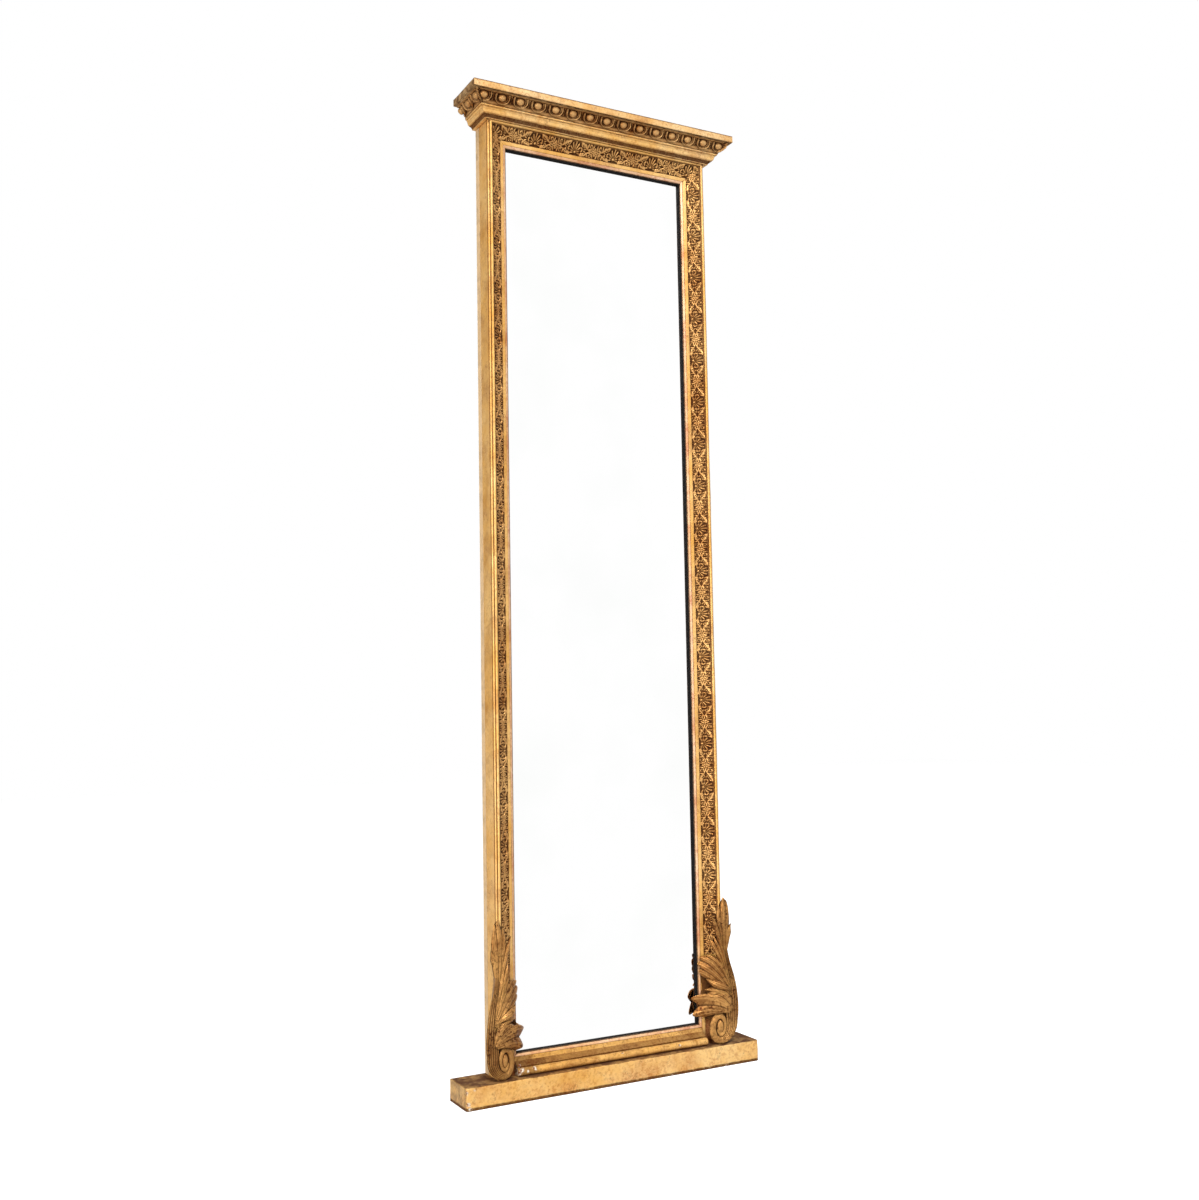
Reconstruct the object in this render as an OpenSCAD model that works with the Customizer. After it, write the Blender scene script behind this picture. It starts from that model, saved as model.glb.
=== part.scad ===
/* [Plinth] */
// Height of the plinth block
plinth_h = 39; // [28:0.5:55]
// How far the plinth stands out in front of the frame
plinth_front_over = 14; // [10:0.5:35]
// How far the plinth stands out past each side of the frame
plinth_side_over = 67.5; // [45:0.5:90]
// Radius of the plinth's worn front corners
plinth_corner_r = 4; // [1:0.5:8]

/* [Frame] */
// Width of the frame over its two stiles
frame_w = 475; // [400:5:560]
// Height of the frame, from the plinth to the cornice
frame_h = 1744; // [1300:4:2000]
// Depth of the plain gilt side of a stile, from the wall plane
side_d = 50.6; // [48:0.2:56]
// Radius of the small outer bead
bead_small_r = 2.3; // [1.6:0.1:2.6]
// Radius of the large outer bead
bead_large_r = 2.6; // [2:0.1:3]
// Width of the hollow that carries the ornament
hollow_w = 23.5; // [18:0.5:30]
// How far the hollow falls towards the glass
hollow_drop = 18.2; // [14:0.2:19]
// How deep the hollow is below a straight line across it
hollow_sag = 2.5; // [1:0.25:3.5]
// Width of the plain fillet inside the hollow
fillet_w = 7; // [5:0.5:9]
// Height of the bottom rail, without its sight slip
bottom_rail_h = 30.8; // [28:0.2:36]
// Radius of the half-round along the foot of the bottom rail
torus_r = 7.15; // [6:0.05:7.6]

/* [Back frame] */
// Thickness of the back frame
back_frame_t = 15; // [13:0.5:17]
// How far the back frame stands in past the rebate wall
back_frame_in = 2; // [1:0.5:4]
// Thickness of the backboards
backboard_t = 8; // [6:0.5:9]
// Width of the rebate that holds the backboards
backboard_seat = 10; // [7:0.5:12]
// Gap between one backboard and the next
board_gap = 0.5; // [0.2:0.1:1]

/* [Glass and slips] */
// Thickness of the mirror plate
glass_t = 5; // [4:0.5:6]
// Gap round the edge of the mirror plate
glass_gap = 1; // [0.5:0.25:2]
// Thickness of the black fillet in front of the glass
black_fillet_t = 6; // [4:0.5:8]
// Width of the gilt sight slip
slip_w = 6; // [4:0.5:8]
// Thickness of the sight slip at the moulding
slip_t = 3.8; // [2.5:0.1:4]
// Thickness of the sight slip at its inner edge
slip_edge_t = 1; // [0.6:0.1:2]
// How far the moulding covers the glass
rebate_w = 6.3; // [5:0.1:8]
// Thickness of the moulding's lip over the rebate
lip_t = 4.4; // [4:0.1:6]
// Length of one glass block
block_l = 60; // [30:5:80]
// Width of one glass block
block_w = 11; // [8:0.5:14]
// Number of glass blocks along each stile
blocks_up = 4; // [2:1:6]

/* [Composition ornament] */
// Thickness of the composition strip in the hollow
strip_t = 3; // [2:0.25:3.5]
// Gap between the strip and the edges of its hollow
strip_gap = 0.4; // [0.2:0.1:1]

/* [Scroll brackets] */
// Radius of the scroll at the foot
scroll_r = 32; // [26:0.5:36]
// How far the scroll stands out past the side of the frame
scroll_out = 26; // [18:0.5:32]
// Height of the narrow waist above the scroll
waist_h = 190; // [170:1:200]
// How far the waist stands out past the side of the frame
waist_out = 1; // [0.5:0.5:6]
// Height of the top of the broad leaves
leaf_h = 168; // [150:1:180]
// How far the low leaf reaches in over the glass
leaf_reach = 16; // [6:0.5:24]
// Height of the tip of the whole bracket
bracket_h = 274; // [255:1:300]
// How far the bracket stands out in front of the frame
bracket_front = 8; // [5:0.5:9.5]
// How far the bracket laps back beside the frame
bracket_lap = 14; // [11:0.5:20]

/* [Cornice] */
// Height of the bed moulding
bed_h = 15; // [13:0.5:20]
// How far the foot of the bed moulding stands out from the core
bed_out = 13; // [11:0.5:16]
// How far the face of the bed moulding leans out on its way up
bed_lean = 5.5; // [2:0.25:7]
// How far the fillet on top of the bed moulding stands out past its face
bed_fillet_out = 2.5; // [1:0.25:3]
// Height of the fillet on top of the bed moulding
bed_fillet_h = 3; // [2:0.25:5]
// How far the bed moulding laps down over the top of the frame
bed_lap = 5; // [3:0.5:6]
// Radius of the cove under the bed moulding
cove_r = 6; // [4:0.25:7]
// Height of the egg moulding
egg_h = 19; // [17:0.5:24]
// Radius of the egg moulding's quarter round
ovolo_r = 16.5; // [13:0.25:17]
// How far the cornice core sits back behind the front of the frame
core_set_back = 4.5; // [2:0.25:6]
// How far the cap stands out past the core
cap_out = 44.5; // [38:0.5:55]
// Thickness of the cap
cap_t = 13; // [10:0.5:18]

/* [Fixings] */
// Radius of a wood screw's shank
screw_r = 2; // [1.5:0.1:2.4]
// Radius of a wood screw's head
screw_head_r = 4.2; // [3.5:0.1:5]
// Length of a back frame screw
back_screw_l = 34; // [28:1:38]
// Number of back frame screws along each stile
back_screws_up = 6; // [4:1:9]
// Length of a plinth screw
plinth_screw_l = 52; // [45:1:56]
// Length of a cornice core screw
core_screw_l = 60; // [50:1:70]
// Radius of a nail or pin
nail_r = 0.9; // [0.6:0.1:1.2]
// Length of a backboard nail
board_nail_l = 18; // [14:1:20]
// Radius of a dowel at the foot of the frame
dowel_r = 3; // [2:0.25:4]
// Length of a dowel
dowel_l = 24; // [18:1:26]
// Thickness of the loose tongues in the top mitres
tongue_t = 3; // [2:0.5:4]

/* [Hanging plates] */
// Thickness of a hanging plate, let in flush with the back
plate_t = 2; // [1.5:0.25:3]
// Width of a hanging plate
plate_w = 22; // [20:0.5:24]
// Length of a hanging plate
plate_l = 70; // [60:1:90]
// Radius of the hole that takes the wall hook
hook_r = 4; // [3:0.25:5]

/* [Hidden] */
$fn = 64;
// gap round a screw, pin or tongue in its hole
fit_gap = 0.05;
// how far a cutting shape runs past what it cuts
past = 1;

// heights
frame_z = plinth_h;
frame_top = frame_z + frame_h;
bed_top = frame_top + bed_h;
egg_top = bed_top + egg_h;

// section of the frame moulding: a runs in from the outer side, d forward from the wall
quirk_w = 1.2;
bead_zone_w = 8.8;
small_bead_rise = 0.7;
small_bead_d = side_d + small_bead_rise + bead_small_r;
large_bead_a = bead_zone_w - bead_large_r;
large_bead_rise = 4.2;
large_bead_d = side_d + large_bead_rise + bead_large_r;
hollow_rise = 6.2;
hollow_out_d = side_d + hollow_rise;
hollow_in_a = bead_zone_w + hollow_w;
hollow_in_d = hollow_out_d - hollow_drop;
fillet_rise = 2.2;
fillet_fall = 1.4;
moulding_w = hollow_in_a + fillet_w;
fillet_out_d = hollow_in_d + fillet_rise;
fillet_in_d = fillet_out_d - fillet_fall;
lip_back_d = fillet_in_d - lip_t;
rebate_a = moulding_w - rebate_w;
sight_a = moulding_w + slip_w;
frame_d = large_bead_d + bead_large_r;

// everything is measured forward from the wall plane, which lies at y = back_y
plinth_d = frame_d + plinth_front_over;
bracket_d = frame_d + bracket_front;
bracket_back_d = frame_d - bracket_lap;
core_d = frame_d - core_set_back;
cap_d = core_d + cap_out;
back_y = cap_d / 2;

// circle that cuts the hollow, from its chord and its sag
hollow_chord = norm([hollow_w, hollow_drop]);
hollow_r = (pow(hollow_chord / 2, 2) + pow(hollow_sag, 2)) / (2 * hollow_sag);
hollow_turn = atan2(hollow_drop, hollow_w);
hollow_mid = [bead_zone_w + hollow_w / 2, hollow_out_d - hollow_drop / 2];
hollow_centre = hollow_mid + (hollow_r - hollow_sag) * [sin(hollow_turn), cos(hollow_turn)];

// section of the bottom rail: q runs up from the plinth
torus_gap = 1.6;
rail_slope_q = 2 * torus_r + torus_gap;
rail_fillet_q = bottom_rail_h - fillet_w;
rail_rebate_q = bottom_rail_h - rebate_w;
rail_sight_q = bottom_rail_h + slip_w;

// glass and what lies behind it
glass_front_d = lip_back_d - black_fillet_t;
glass_back_d = glass_front_d - glass_t;
back_in_a = rebate_a + back_frame_in;
back_in_q = rail_rebate_q + back_frame_in;
board_a = back_in_a - backboard_seat;
board_q = back_in_q - backboard_seat;
half_lap = back_frame_t / 2;

// sight opening
sight_low_z = frame_z + rail_sight_q;
sight_high_z = frame_top - sight_a;
mitre_zone = 60;
low_mitre_z = sight_low_z - sight_a;

// cornice
half_core = frame_w / 2;
bed_top_p = bed_out + bed_lean;
bed_fillet_p = bed_top_p + bed_fillet_out;
lap_gap = 0.2;
lap_seat_p = core_set_back + lap_gap;
ovolo_top_p = bed_fillet_p + ovolo_r;
mitre_past = 20;
mitre_run = cap_out + mitre_past;

// scroll brackets: o runs out from the frame's side, h up from the plinth
scroll_o = scroll_out - scroll_r;
leaf_in = -(sight_a + leaf_reach);
curl_rise = 28;
curl_h = scroll_r + curl_rise;
tip_lobe_r = 13;
low_lobe_r = 12;
upper_curl_r = 10;
leaf_root = 14;
low_leaf_rise = 76;
tail_w = 25;
stem_in = -tail_w;
pin_low_rise = 8;
pin_low_h = scroll_r + pin_low_rise;
pin_high_drop = 28;
pin_high_h = leaf_h - pin_high_drop;
pin_in = 6;
leaf_seat_gap = 0.3;
leaf_floor_d = fillet_in_d + leaf_seat_gap;
bracket_side_gap = 0.1;
edge_fall = 6;
leaf_t = 5;
high_rise = 4;
bracket_edge_d = bracket_d - edge_fall;

// fixings
screw_off = 3;
screw_a = rebate_a / 2 - screw_off;
screw_first = 60;
screw_step = (frame_h - 2 * screw_first) / (back_screws_up - 1);
rail_screw_x = frame_w / 6;
rail_plinth_x = frame_w / 12;
plinth_screw_d = 33;
stile_mid_x = frame_w / 2 - rebate_a / 2;
plinth_screw_xs = [-stile_mid_x, -rail_plinth_x, rail_plinth_x, stile_mid_x];
plinth_counterbore = 6;
head_room = 1;
core_screw_d = 34;
dowel_d = (back_frame_t + lip_back_d) / 2;
dowel_pitch = 10;
dowel_q = rail_rebate_q / 2;
tongue_d = 26;
tongue_w = 22;
hook_z = frame_top - screw_first - screw_step / 2;
hook_a = board_a / 2;
hook_pocket = 9;
hook_room = 3;
plate_screw_in = 9;
plate_screw_off = plate_l / 2 - plate_screw_in;
plate_screw_l = 18;
plate_screw_r = 1.6;
plate_screw_head_r = 3.2;
board_count = 3;
nails_across = 4;
nail_head_r = 2;
nail_head_t = 0.8;
cap_nail_l = 40;
pin_l = 20;

gilt = [0.86, 0.64, 0.32];
worn_gilt = [0.72, 0.52, 0.28];
ornament_gilt = [0.60, 0.42, 0.22];
bronze_gilt = [0.66, 0.48, 0.28];
pine = [0.76, 0.62, 0.42];
old_pine = [0.55, 0.42, 0.28];
ebonised = [0.06, 0.05, 0.05];
silvered = [0.86, 0.88, 0.90];
iron = [0.30, 0.29, 0.28];
brass = [0.70, 0.55, 0.28];

// ---------- placing ----------

// a section in (a, d) run up the left side of the frame
module up_left(z0, length) {
    translate([-frame_w / 2, back_y, z0])
        mirror([0, 1, 0])
        linear_extrude(height = length) children();
}

// the same section run along the top of the frame
module along_top(z_top, length) {
    translate([-length / 2, back_y, z_top])
        mirror([0, 1, 0])
        rotate([0, 90, 0])
        linear_extrude(height = length) children();
}

// a section in (q, d) run along the bottom of the frame
module along_bottom(z_low, length) {
    translate([length / 2, back_y, z_low])
        mirror([0, 1, 0])
        rotate([0, -90, 0])
        linear_extrude(height = length) children();
}

// an outline in (x, z) run forward from depth d0 to depth d1
module forward(d0, d1) {
    translate([0, back_y - d0, 0])
        rotate([90, 0, 0])
        linear_extrude(height = d1 - d0) children();
}

// a box from its ranges in x, depth and z
module block(x0, x1, d0, d1, z0, z1) {
    translate([x0, back_y - d1, z0]) cube([x1 - x0, d1 - d0, z1 - z0]);
}

module mirrored() {
    mirror([1, 0, 0]) children();
}

// a round bar that points forward from depth d0
module bar_forward(x, d0, z, radius, length) {
    translate([x, back_y - d0, z]) rotate([90, 0, 0]) cylinder(r = radius, h = length);
}

// a countersunk screw that points forward from depth 0
module screw_forward(x, z, radius, head_r, length, gap = 0) {
    bar_forward(x, -gap, z, radius + gap, length + 2 * gap);
    translate([x, back_y, z])
        rotate([90, 0, 0])
        cylinder(r1 = head_r + gap, r2 = radius + gap, h = head_r - radius + gap);
}

// ---------- frame sections ----------

module moulding_body_section() {
    difference() {
        polygon([
            [0, back_frame_t],
            [0, side_d],
            [quirk_w, side_d],
            [quirk_w, small_bead_d],
            [bead_zone_w / 2, small_bead_d + bead_small_r / 2],
            [bead_zone_w, hollow_out_d],
            [hollow_in_a, hollow_in_d],
            [hollow_in_a, fillet_out_d],
            [moulding_w, fillet_in_d],
            [moulding_w, lip_back_d],
            [rebate_a, lip_back_d],
            [rebate_a, back_frame_t]
        ]);
        intersection() {
            translate(hollow_centre) circle(r = hollow_r, $fn = 96);
            translate([bead_zone_w, 0]) square([hollow_w, frame_d + past]);
        }
    }
}

module small_bead_section() {
    translate([bead_small_r, small_bead_d]) circle(r = bead_small_r);
}

module large_bead_section() {
    translate([large_bead_a, large_bead_d]) circle(r = bead_large_r);
}

module strip_section() {
    intersection() {
        difference() {
            translate(hollow_centre) circle(r = hollow_r, $fn = 96);
            translate(hollow_centre) circle(r = hollow_r - strip_t, $fn = 96);
        }
        translate([bead_zone_w + strip_gap, 0])
            square([hollow_w - 2 * strip_gap, frame_d + past]);
    }
}

module bottom_rail_section() {
    polygon([
        [0, back_frame_t],
        [0, frame_d - torus_r],
        [rail_slope_q, frame_d - torus_r],
        [rail_fillet_q, fillet_out_d],
        [bottom_rail_h, fillet_in_d],
        [bottom_rail_h, lip_back_d],
        [rail_rebate_q, lip_back_d],
        [rail_rebate_q, back_frame_t]
    ]);
}

module bottom_rail_back_section() {
    translate([0, back_frame_t]) square([rail_rebate_q, lip_back_d - back_frame_t]);
}

module torus_section() {
    translate([torus_r, frame_d - torus_r]) circle(r = torus_r);
}

// slip and black fillet, with u measured from the inner edge of the moulding
module slip_section(edge) {
    polygon([
        [edge, lip_back_d],
        [edge + slip_w, lip_back_d],
        [edge + slip_w, lip_back_d + slip_edge_t],
        [edge, lip_back_d + slip_t]
    ]);
}

module black_fillet_section(wall) {
    translate([wall, glass_front_d]) square([rebate_w + slip_w, black_fillet_t]);
}

// ---------- mitres ----------

// part of the frame's face that belongs to the left side
module left_zone() {
    forward(-past, frame_d + past) polygon([
        [-frame_w / 2, frame_top],
        [-frame_w / 2 + mitre_zone, frame_top - mitre_zone],
        [-frame_w / 2 + mitre_zone, low_mitre_z + mitre_zone],
        [-frame_w / 2, low_mitre_z]
    ]);
}

module stile_zone() {
    forward(-past, frame_d + past) polygon([
        [-frame_w / 2, frame_top],
        [-frame_w / 2 + mitre_zone, frame_top - mitre_zone],
        [-frame_w / 2 + mitre_zone, frame_z],
        [-frame_w / 2, frame_z]
    ]);
}

module top_zone() {
    forward(-past, frame_d + past) polygon([
        [-frame_w / 2, frame_top],
        [frame_w / 2, frame_top],
        [frame_w / 2 - mitre_zone, frame_top - mitre_zone],
        [-frame_w / 2 + mitre_zone, frame_top - mitre_zone]
    ]);
}

module bottom_zone() {
    forward(-past, frame_d + past) polygon([
        [-frame_w / 2, low_mitre_z],
        [frame_w / 2, low_mitre_z],
        [frame_w / 2 - mitre_zone, low_mitre_z + mitre_zone],
        [-frame_w / 2 + mitre_zone, low_mitre_z + mitre_zone]
    ]);
}

// ---------- fixings, each drawn once and cut once with a gap ----------

module stile_screws(gap = 0) {
    for (i = [0 : back_screws_up - 1])
        screw_forward(-frame_w / 2 + screw_a, frame_z + screw_first + i * screw_step,
            screw_r, screw_head_r, back_screw_l, gap);
}

module rail_screws(gap = 0) {
    for (x = [-rail_screw_x, rail_screw_x]) {
        screw_forward(x, frame_top - screw_a, screw_r, screw_head_r, back_screw_l, gap);
        screw_forward(x, frame_z + board_q / 2, screw_r, screw_head_r, back_screw_l, gap);
    }
}

module plinth_screw_shapes(gap = 0) {
    head_h = screw_head_r - screw_r;
    for (x = plinth_screw_xs)
        translate([x, back_y - plinth_screw_d, plinth_counterbore]) {
            translate([0, 0, -gap]) cylinder(r = screw_r + gap, h = plinth_screw_l + 2 * gap);
            cylinder(r1 = screw_head_r + gap, r2 = screw_r + gap, h = head_h + gap);
        }
}

module core_screw_shapes(gap = 0) {
    head_h = screw_head_r - screw_r;
    for (x = [-stile_mid_x, 0, stile_mid_x])
        translate([x, back_y - core_screw_d, egg_top]) mirror([0, 0, 1]) {
            translate([0, 0, -gap]) cylinder(r = screw_r + gap, h = core_screw_l + 2 * gap);
            cylinder(r1 = screw_head_r + gap, r2 = screw_r + gap, h = head_h + gap);
        }
}

module cap_nail_shapes(gap = 0) {
    for (i = [-2 : 2])
        translate([i * frame_w / 5, back_y - core_d * 0.8, egg_top + cap_t]) mirror([0, 0, 1]) {
            translate([0, 0, -gap]) cylinder(r = nail_r + gap, h = cap_nail_l + 2 * gap);
            translate([0, 0, -gap]) cylinder(r = nail_head_r + gap, h = nail_head_t + gap);
        }
}

module dowel_shapes(gap = 0) {
    for (side = [-1, 1], d = [dowel_d - dowel_pitch / 2, dowel_d + dowel_pitch / 2])
        translate([side * (frame_w / 2 - rebate_a), back_y - d, frame_z + dowel_q])
            rotate([0, 90, 0])
            cylinder(r = dowel_r + gap, h = dowel_l + 2 * gap, center = true);
}

// thin tongues that cross the two top mitres
module tongue_shapes(gap = 0) {
    for (side = [-1, 1])
        translate([side * stile_mid_x, back_y - tongue_d, frame_top - rebate_a / 2])
            rotate([0, side * 45, 0])
            cube([tongue_w + 2 * gap, tongue_t + 2 * gap, tongue_w + 2 * gap], center = true);
}

module board_nail_shapes(gap = 0) {
    seat_x = frame_w / 2 - board_a - backboard_seat / 2;
    board_h = board_height();
    for (side = [-1, 1], i = [0 : board_count - 1], k = [0 : nails_across - 1]) {
        z = board_low(i) + board_h * (k + 0.5) / nails_across;
        bar_forward(side * seat_x, -gap, z, nail_r + gap, board_nail_l + 2 * gap);
        bar_forward(side * seat_x, -gap, z, nail_head_r + gap, nail_head_t + gap);
    }
}

module plate_screw_shapes(gap = 0) {
    for (side = [-1, 1], off = [-plate_screw_off, plate_screw_off])
        screw_forward(side * (frame_w / 2 - hook_a), hook_z + off,
            plate_screw_r, plate_screw_head_r, plate_screw_l, gap);
}

module pin_shapes(gap = 0) {
    for (side = [-1, 1], h = [pin_low_h, pin_high_h])
        bar_forward(side * (frame_w / 2 - pin_in), frame_d - 0.75 * pin_l - gap, frame_z + h,
            nail_r + gap, pin_l + 2 * gap);
}

// ---------- plinth ----------

module plinth_block() {
    half_w = frame_w / 2 + plinth_side_over;
    color(gilt) difference() {
        linear_extrude(height = plinth_h) {
            translate([-half_w, back_y - plinth_d + plinth_corner_r])
                square([2 * half_w, plinth_d - plinth_corner_r]);
            translate([-half_w + plinth_corner_r, back_y - plinth_d])
                square([2 * (half_w - plinth_corner_r), 2 * plinth_corner_r]);
            for (side = [-1, 1])
                translate([side * (half_w - plinth_corner_r), back_y - plinth_d + plinth_corner_r])
                    circle(r = plinth_corner_r);
        }
        plinth_screw_shapes(fit_gap);
        for (x = plinth_screw_xs)
            translate([x, back_y - plinth_screw_d, -past])
                cylinder(r = screw_head_r + head_room, h = plinth_counterbore + past);
    }
}

module plinth_screws() {
    color(iron) plinth_screw_shapes();
}

// ---------- frame mouldings ----------

module left_stile_plain() {
    difference() {
        intersection() {
            union() {
                up_left(frame_z, frame_h) moulding_body_section();
                up_left(frame_z, frame_h) small_bead_section();
                up_left(frame_z, frame_h) large_bead_section();
            }
            stile_zone();
        }
        stile_screws(fit_gap);
        plinth_screw_shapes(fit_gap);
        core_screw_shapes(fit_gap);
        dowel_shapes(fit_gap);
        tongue_shapes(fit_gap);
        pin_shapes(fit_gap);
        plate_screw_shapes(fit_gap);
    }
}

module left_stile_moulding() {
    color(gilt) left_stile_plain();
}

module right_stile_moulding() {
    color(gilt) mirrored() left_stile_plain();
}

module top_rail_moulding() {
    color(gilt) difference() {
        intersection() {
            union() {
                along_top(frame_top, frame_w) moulding_body_section();
                along_top(frame_top, frame_w) small_bead_section();
                along_top(frame_top, frame_w) large_bead_section();
            }
            top_zone();
        }
        rail_screws(fit_gap);
        core_screw_shapes(fit_gap);
        tongue_shapes(fit_gap);
    }
}

module bottom_rail_moulding() {
    color(gilt) difference() {
        union() {
            along_bottom(frame_z, frame_w - 2 * moulding_w) bottom_rail_section();
            along_bottom(frame_z, frame_w - 2 * moulding_w) torus_section();
            along_bottom(frame_z, frame_w - 2 * rebate_a) bottom_rail_back_section();
        }
        rail_screws(fit_gap);
        plinth_screw_shapes(fit_gap);
        dowel_shapes(fit_gap);
    }
}

module mitre_tongues() {
    color(pine) tongue_shapes();
}

module rail_dowels() {
    color(pine) dowel_shapes();
}

// ---------- back frame ----------

module board_recess() {
    block(-frame_w / 2 + board_a, frame_w / 2 - board_a, -past, backboard_t,
        frame_z + board_q, frame_top - board_a);
}

module hanging_recess(side) {
    x = side * (frame_w / 2 - hook_a);
    block(x - plate_w / 2 - fit_gap, x + plate_w / 2 + fit_gap, -past, plate_t,
        hook_z - plate_l / 2 - fit_gap, hook_z + plate_l / 2 + fit_gap);
    bar_forward(x, 0, hook_z, hook_r + hook_room, plate_t + hook_pocket);
}

module left_back_stile_plain() {
    difference() {
        block(-frame_w / 2, -frame_w / 2 + back_in_a, 0, back_frame_t, frame_z, frame_top);
        block(-frame_w / 2 - past, -frame_w / 2 + back_in_a + past, -past, half_lap,
            frame_top - back_in_a, frame_top + past);
        block(-frame_w / 2 - past, -frame_w / 2 + back_in_a + past, -past, half_lap,
            frame_z - past, frame_z + back_in_q);
        board_recess();
        stile_screws(fit_gap);
        board_nail_shapes(fit_gap);
        plate_screw_shapes(fit_gap);
        hanging_recess(-1);
    }
}

module left_back_stile() {
    color(old_pine) left_back_stile_plain();
}

module right_back_stile() {
    color(old_pine) mirrored() left_back_stile_plain();
}

module back_rail(z0, z1) {
    difference() {
        block(-frame_w / 2, frame_w / 2, 0, back_frame_t, z0, z1);
        for (side = [-1, 1])
            block(side * (frame_w / 2 - back_in_a / 2) - back_in_a / 2 - past * (1 - side) / 2,
                side * (frame_w / 2 - back_in_a / 2) + back_in_a / 2 + past * (1 + side) / 2,
                half_lap, back_frame_t + past, z0 - past, z1 + past);
        board_recess();
        rail_screws(fit_gap);
        stile_screws(fit_gap);
        mirrored() stile_screws(fit_gap);
    }
}

module top_back_rail() {
    color(old_pine) back_rail(frame_top - back_in_a, frame_top);
}

module bottom_back_rail() {
    color(old_pine) back_rail(frame_z, frame_z + back_in_q);
}

module back_frame_screws() {
    color(iron) {
        stile_screws();
        mirrored() stile_screws();
        rail_screws();
    }
}

// ---------- composition ornament ----------

module left_strip_plain() {
    intersection() {
        up_left(frame_z + leaf_h + strip_gap, frame_h - leaf_h - strip_gap) strip_section();
        stile_zone();
    }
}

module left_composition_strip() {
    color(ornament_gilt) left_strip_plain();
}

module right_composition_strip() {
    color(ornament_gilt) mirrored() left_strip_plain();
}

module top_composition_strip() {
    color(ornament_gilt) intersection() {
        along_top(frame_top, frame_w) strip_section();
        top_zone();
    }
}

// ---------- sight slips and black fillets ----------

module left_sight_slip() {
    color(worn_gilt) intersection() {
        up_left(frame_z, frame_h) slip_section(moulding_w);
        left_zone();
    }
}

module right_sight_slip() {
    color(worn_gilt) mirrored() intersection() {
        up_left(frame_z, frame_h) slip_section(moulding_w);
        left_zone();
    }
}

module top_sight_slip() {
    color(worn_gilt) intersection() {
        along_top(frame_top, frame_w) slip_section(moulding_w);
        top_zone();
    }
}

module bottom_sight_slip() {
    color(worn_gilt) intersection() {
        along_bottom(frame_z, frame_w) slip_section(bottom_rail_h);
        bottom_zone();
    }
}

module left_black_fillet() {
    color(ebonised) intersection() {
        up_left(frame_z, frame_h) black_fillet_section(rebate_a);
        left_zone();
    }
}

module right_black_fillet() {
    color(ebonised) mirrored() intersection() {
        up_left(frame_z, frame_h) black_fillet_section(rebate_a);
        left_zone();
    }
}

module top_black_fillet() {
    color(ebonised) intersection() {
        along_top(frame_top, frame_w) black_fillet_section(rebate_a);
        top_zone();
    }
}

module bottom_black_fillet() {
    color(ebonised) intersection() {
        along_bottom(frame_z, frame_w) black_fillet_section(rail_rebate_q);
        bottom_zone();
    }
}

// ---------- glass and back ----------

module mirror_plate() {
    color(silvered) block(
        -frame_w / 2 + rebate_a + glass_gap, frame_w / 2 - rebate_a - glass_gap,
        glass_back_d, glass_front_d,
        frame_z + rail_rebate_q + glass_gap, frame_top - rebate_a - glass_gap);
}

// pine blocks glued in the rebate, that hold the glass forward
module glass_blocks() {
    run = frame_h - rail_rebate_q - rebate_a;
    low = frame_z + rail_rebate_q;
    color(pine) {
        for (side = [-1, 1], i = [0 : blocks_up - 1]) {
            x = side * (frame_w / 2 - rebate_a - block_w / 2);
            z = low + run * (i + 0.5) / blocks_up;
            block(x - block_w / 2, x + block_w / 2, back_frame_t, glass_back_d,
                z - block_l / 2, z + block_l / 2);
        }
        for (x = [-frame_w / 5, frame_w / 5]) {
            block(x - block_l / 2, x + block_l / 2, back_frame_t, glass_back_d,
                frame_top - rebate_a - block_w, frame_top - rebate_a);
            block(x - block_l / 2, x + block_l / 2, back_frame_t, glass_back_d, low, low + block_w);
        }
    }
}

function boards_run() = frame_h - board_a - board_q - (board_count + 1) * board_gap;
function board_height() = boards_run() / board_count;
function board_low(i) = frame_z + board_q + board_gap + i * (board_height() + board_gap);

module backboard(i) {
    color(old_pine) difference() {
        block(-frame_w / 2 + board_a + board_gap, frame_w / 2 - board_a - board_gap,
            0, backboard_t, board_low(i), board_low(i) + board_height());
        board_nail_shapes(fit_gap);
    }
}

module lower_backboard() {
    backboard(0);
}

module middle_backboard() {
    backboard(1);
}

module upper_backboard() {
    backboard(2);
}

module backboard_nails() {
    color(iron) board_nail_shapes();
}

// ---------- scroll brackets ----------

// outer edge of the bracket: a half wave from the scroll up to the waist
function bracket_edge(h) = waist_out
    + (scroll_out - waist_out) * (1 + cos(180 * (h - curl_h) / (waist_h - curl_h))) / 2;

// outlines as carved, with o out from the frame's side and h up from the plinth
module scroll_outline() {
    translate([scroll_o, scroll_r]) circle(r = scroll_r);
}

module stem_outline() {
    edge_steps = 8;
    step = (leaf_h - curl_h) / edge_steps;
    polygon(concat(
        [[-moulding_w + leaf_root / 2, scroll_r], [scroll_out, scroll_r]],
        [for (i = [0 : edge_steps]) [bracket_edge(curl_h + i * step), curl_h + i * step]],
        [[-moulding_w - slip_w * 2 / 3, leaf_h], [-moulding_w - slip_w / 3, scroll_r + 0.8 * low_leaf_rise]]
    ));
}

module upper_curl_outline() {
    translate([-moulding_w - upper_curl_r / 5, leaf_h - 1.7 * upper_curl_r]) circle(r = upper_curl_r);
}

module low_leaf_outline() {
    polygon([
        [-moulding_w + leaf_root, scroll_r + 0.18 * low_leaf_rise],
        [-moulding_w - slip_w, scroll_r + 0.26 * low_leaf_rise],
        [leaf_in, scroll_r + 0.4 * low_leaf_rise],
        [leaf_in - slip_w / 3, scroll_r + 0.66 * low_leaf_rise],
        [leaf_in + slip_w, scroll_r + 0.82 * low_leaf_rise],
        [-moulding_w + slip_w / 3, scroll_r + low_leaf_rise],
        [-moulding_w + leaf_root, scroll_r + 0.79 * low_leaf_rise]
    ]);
}

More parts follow.
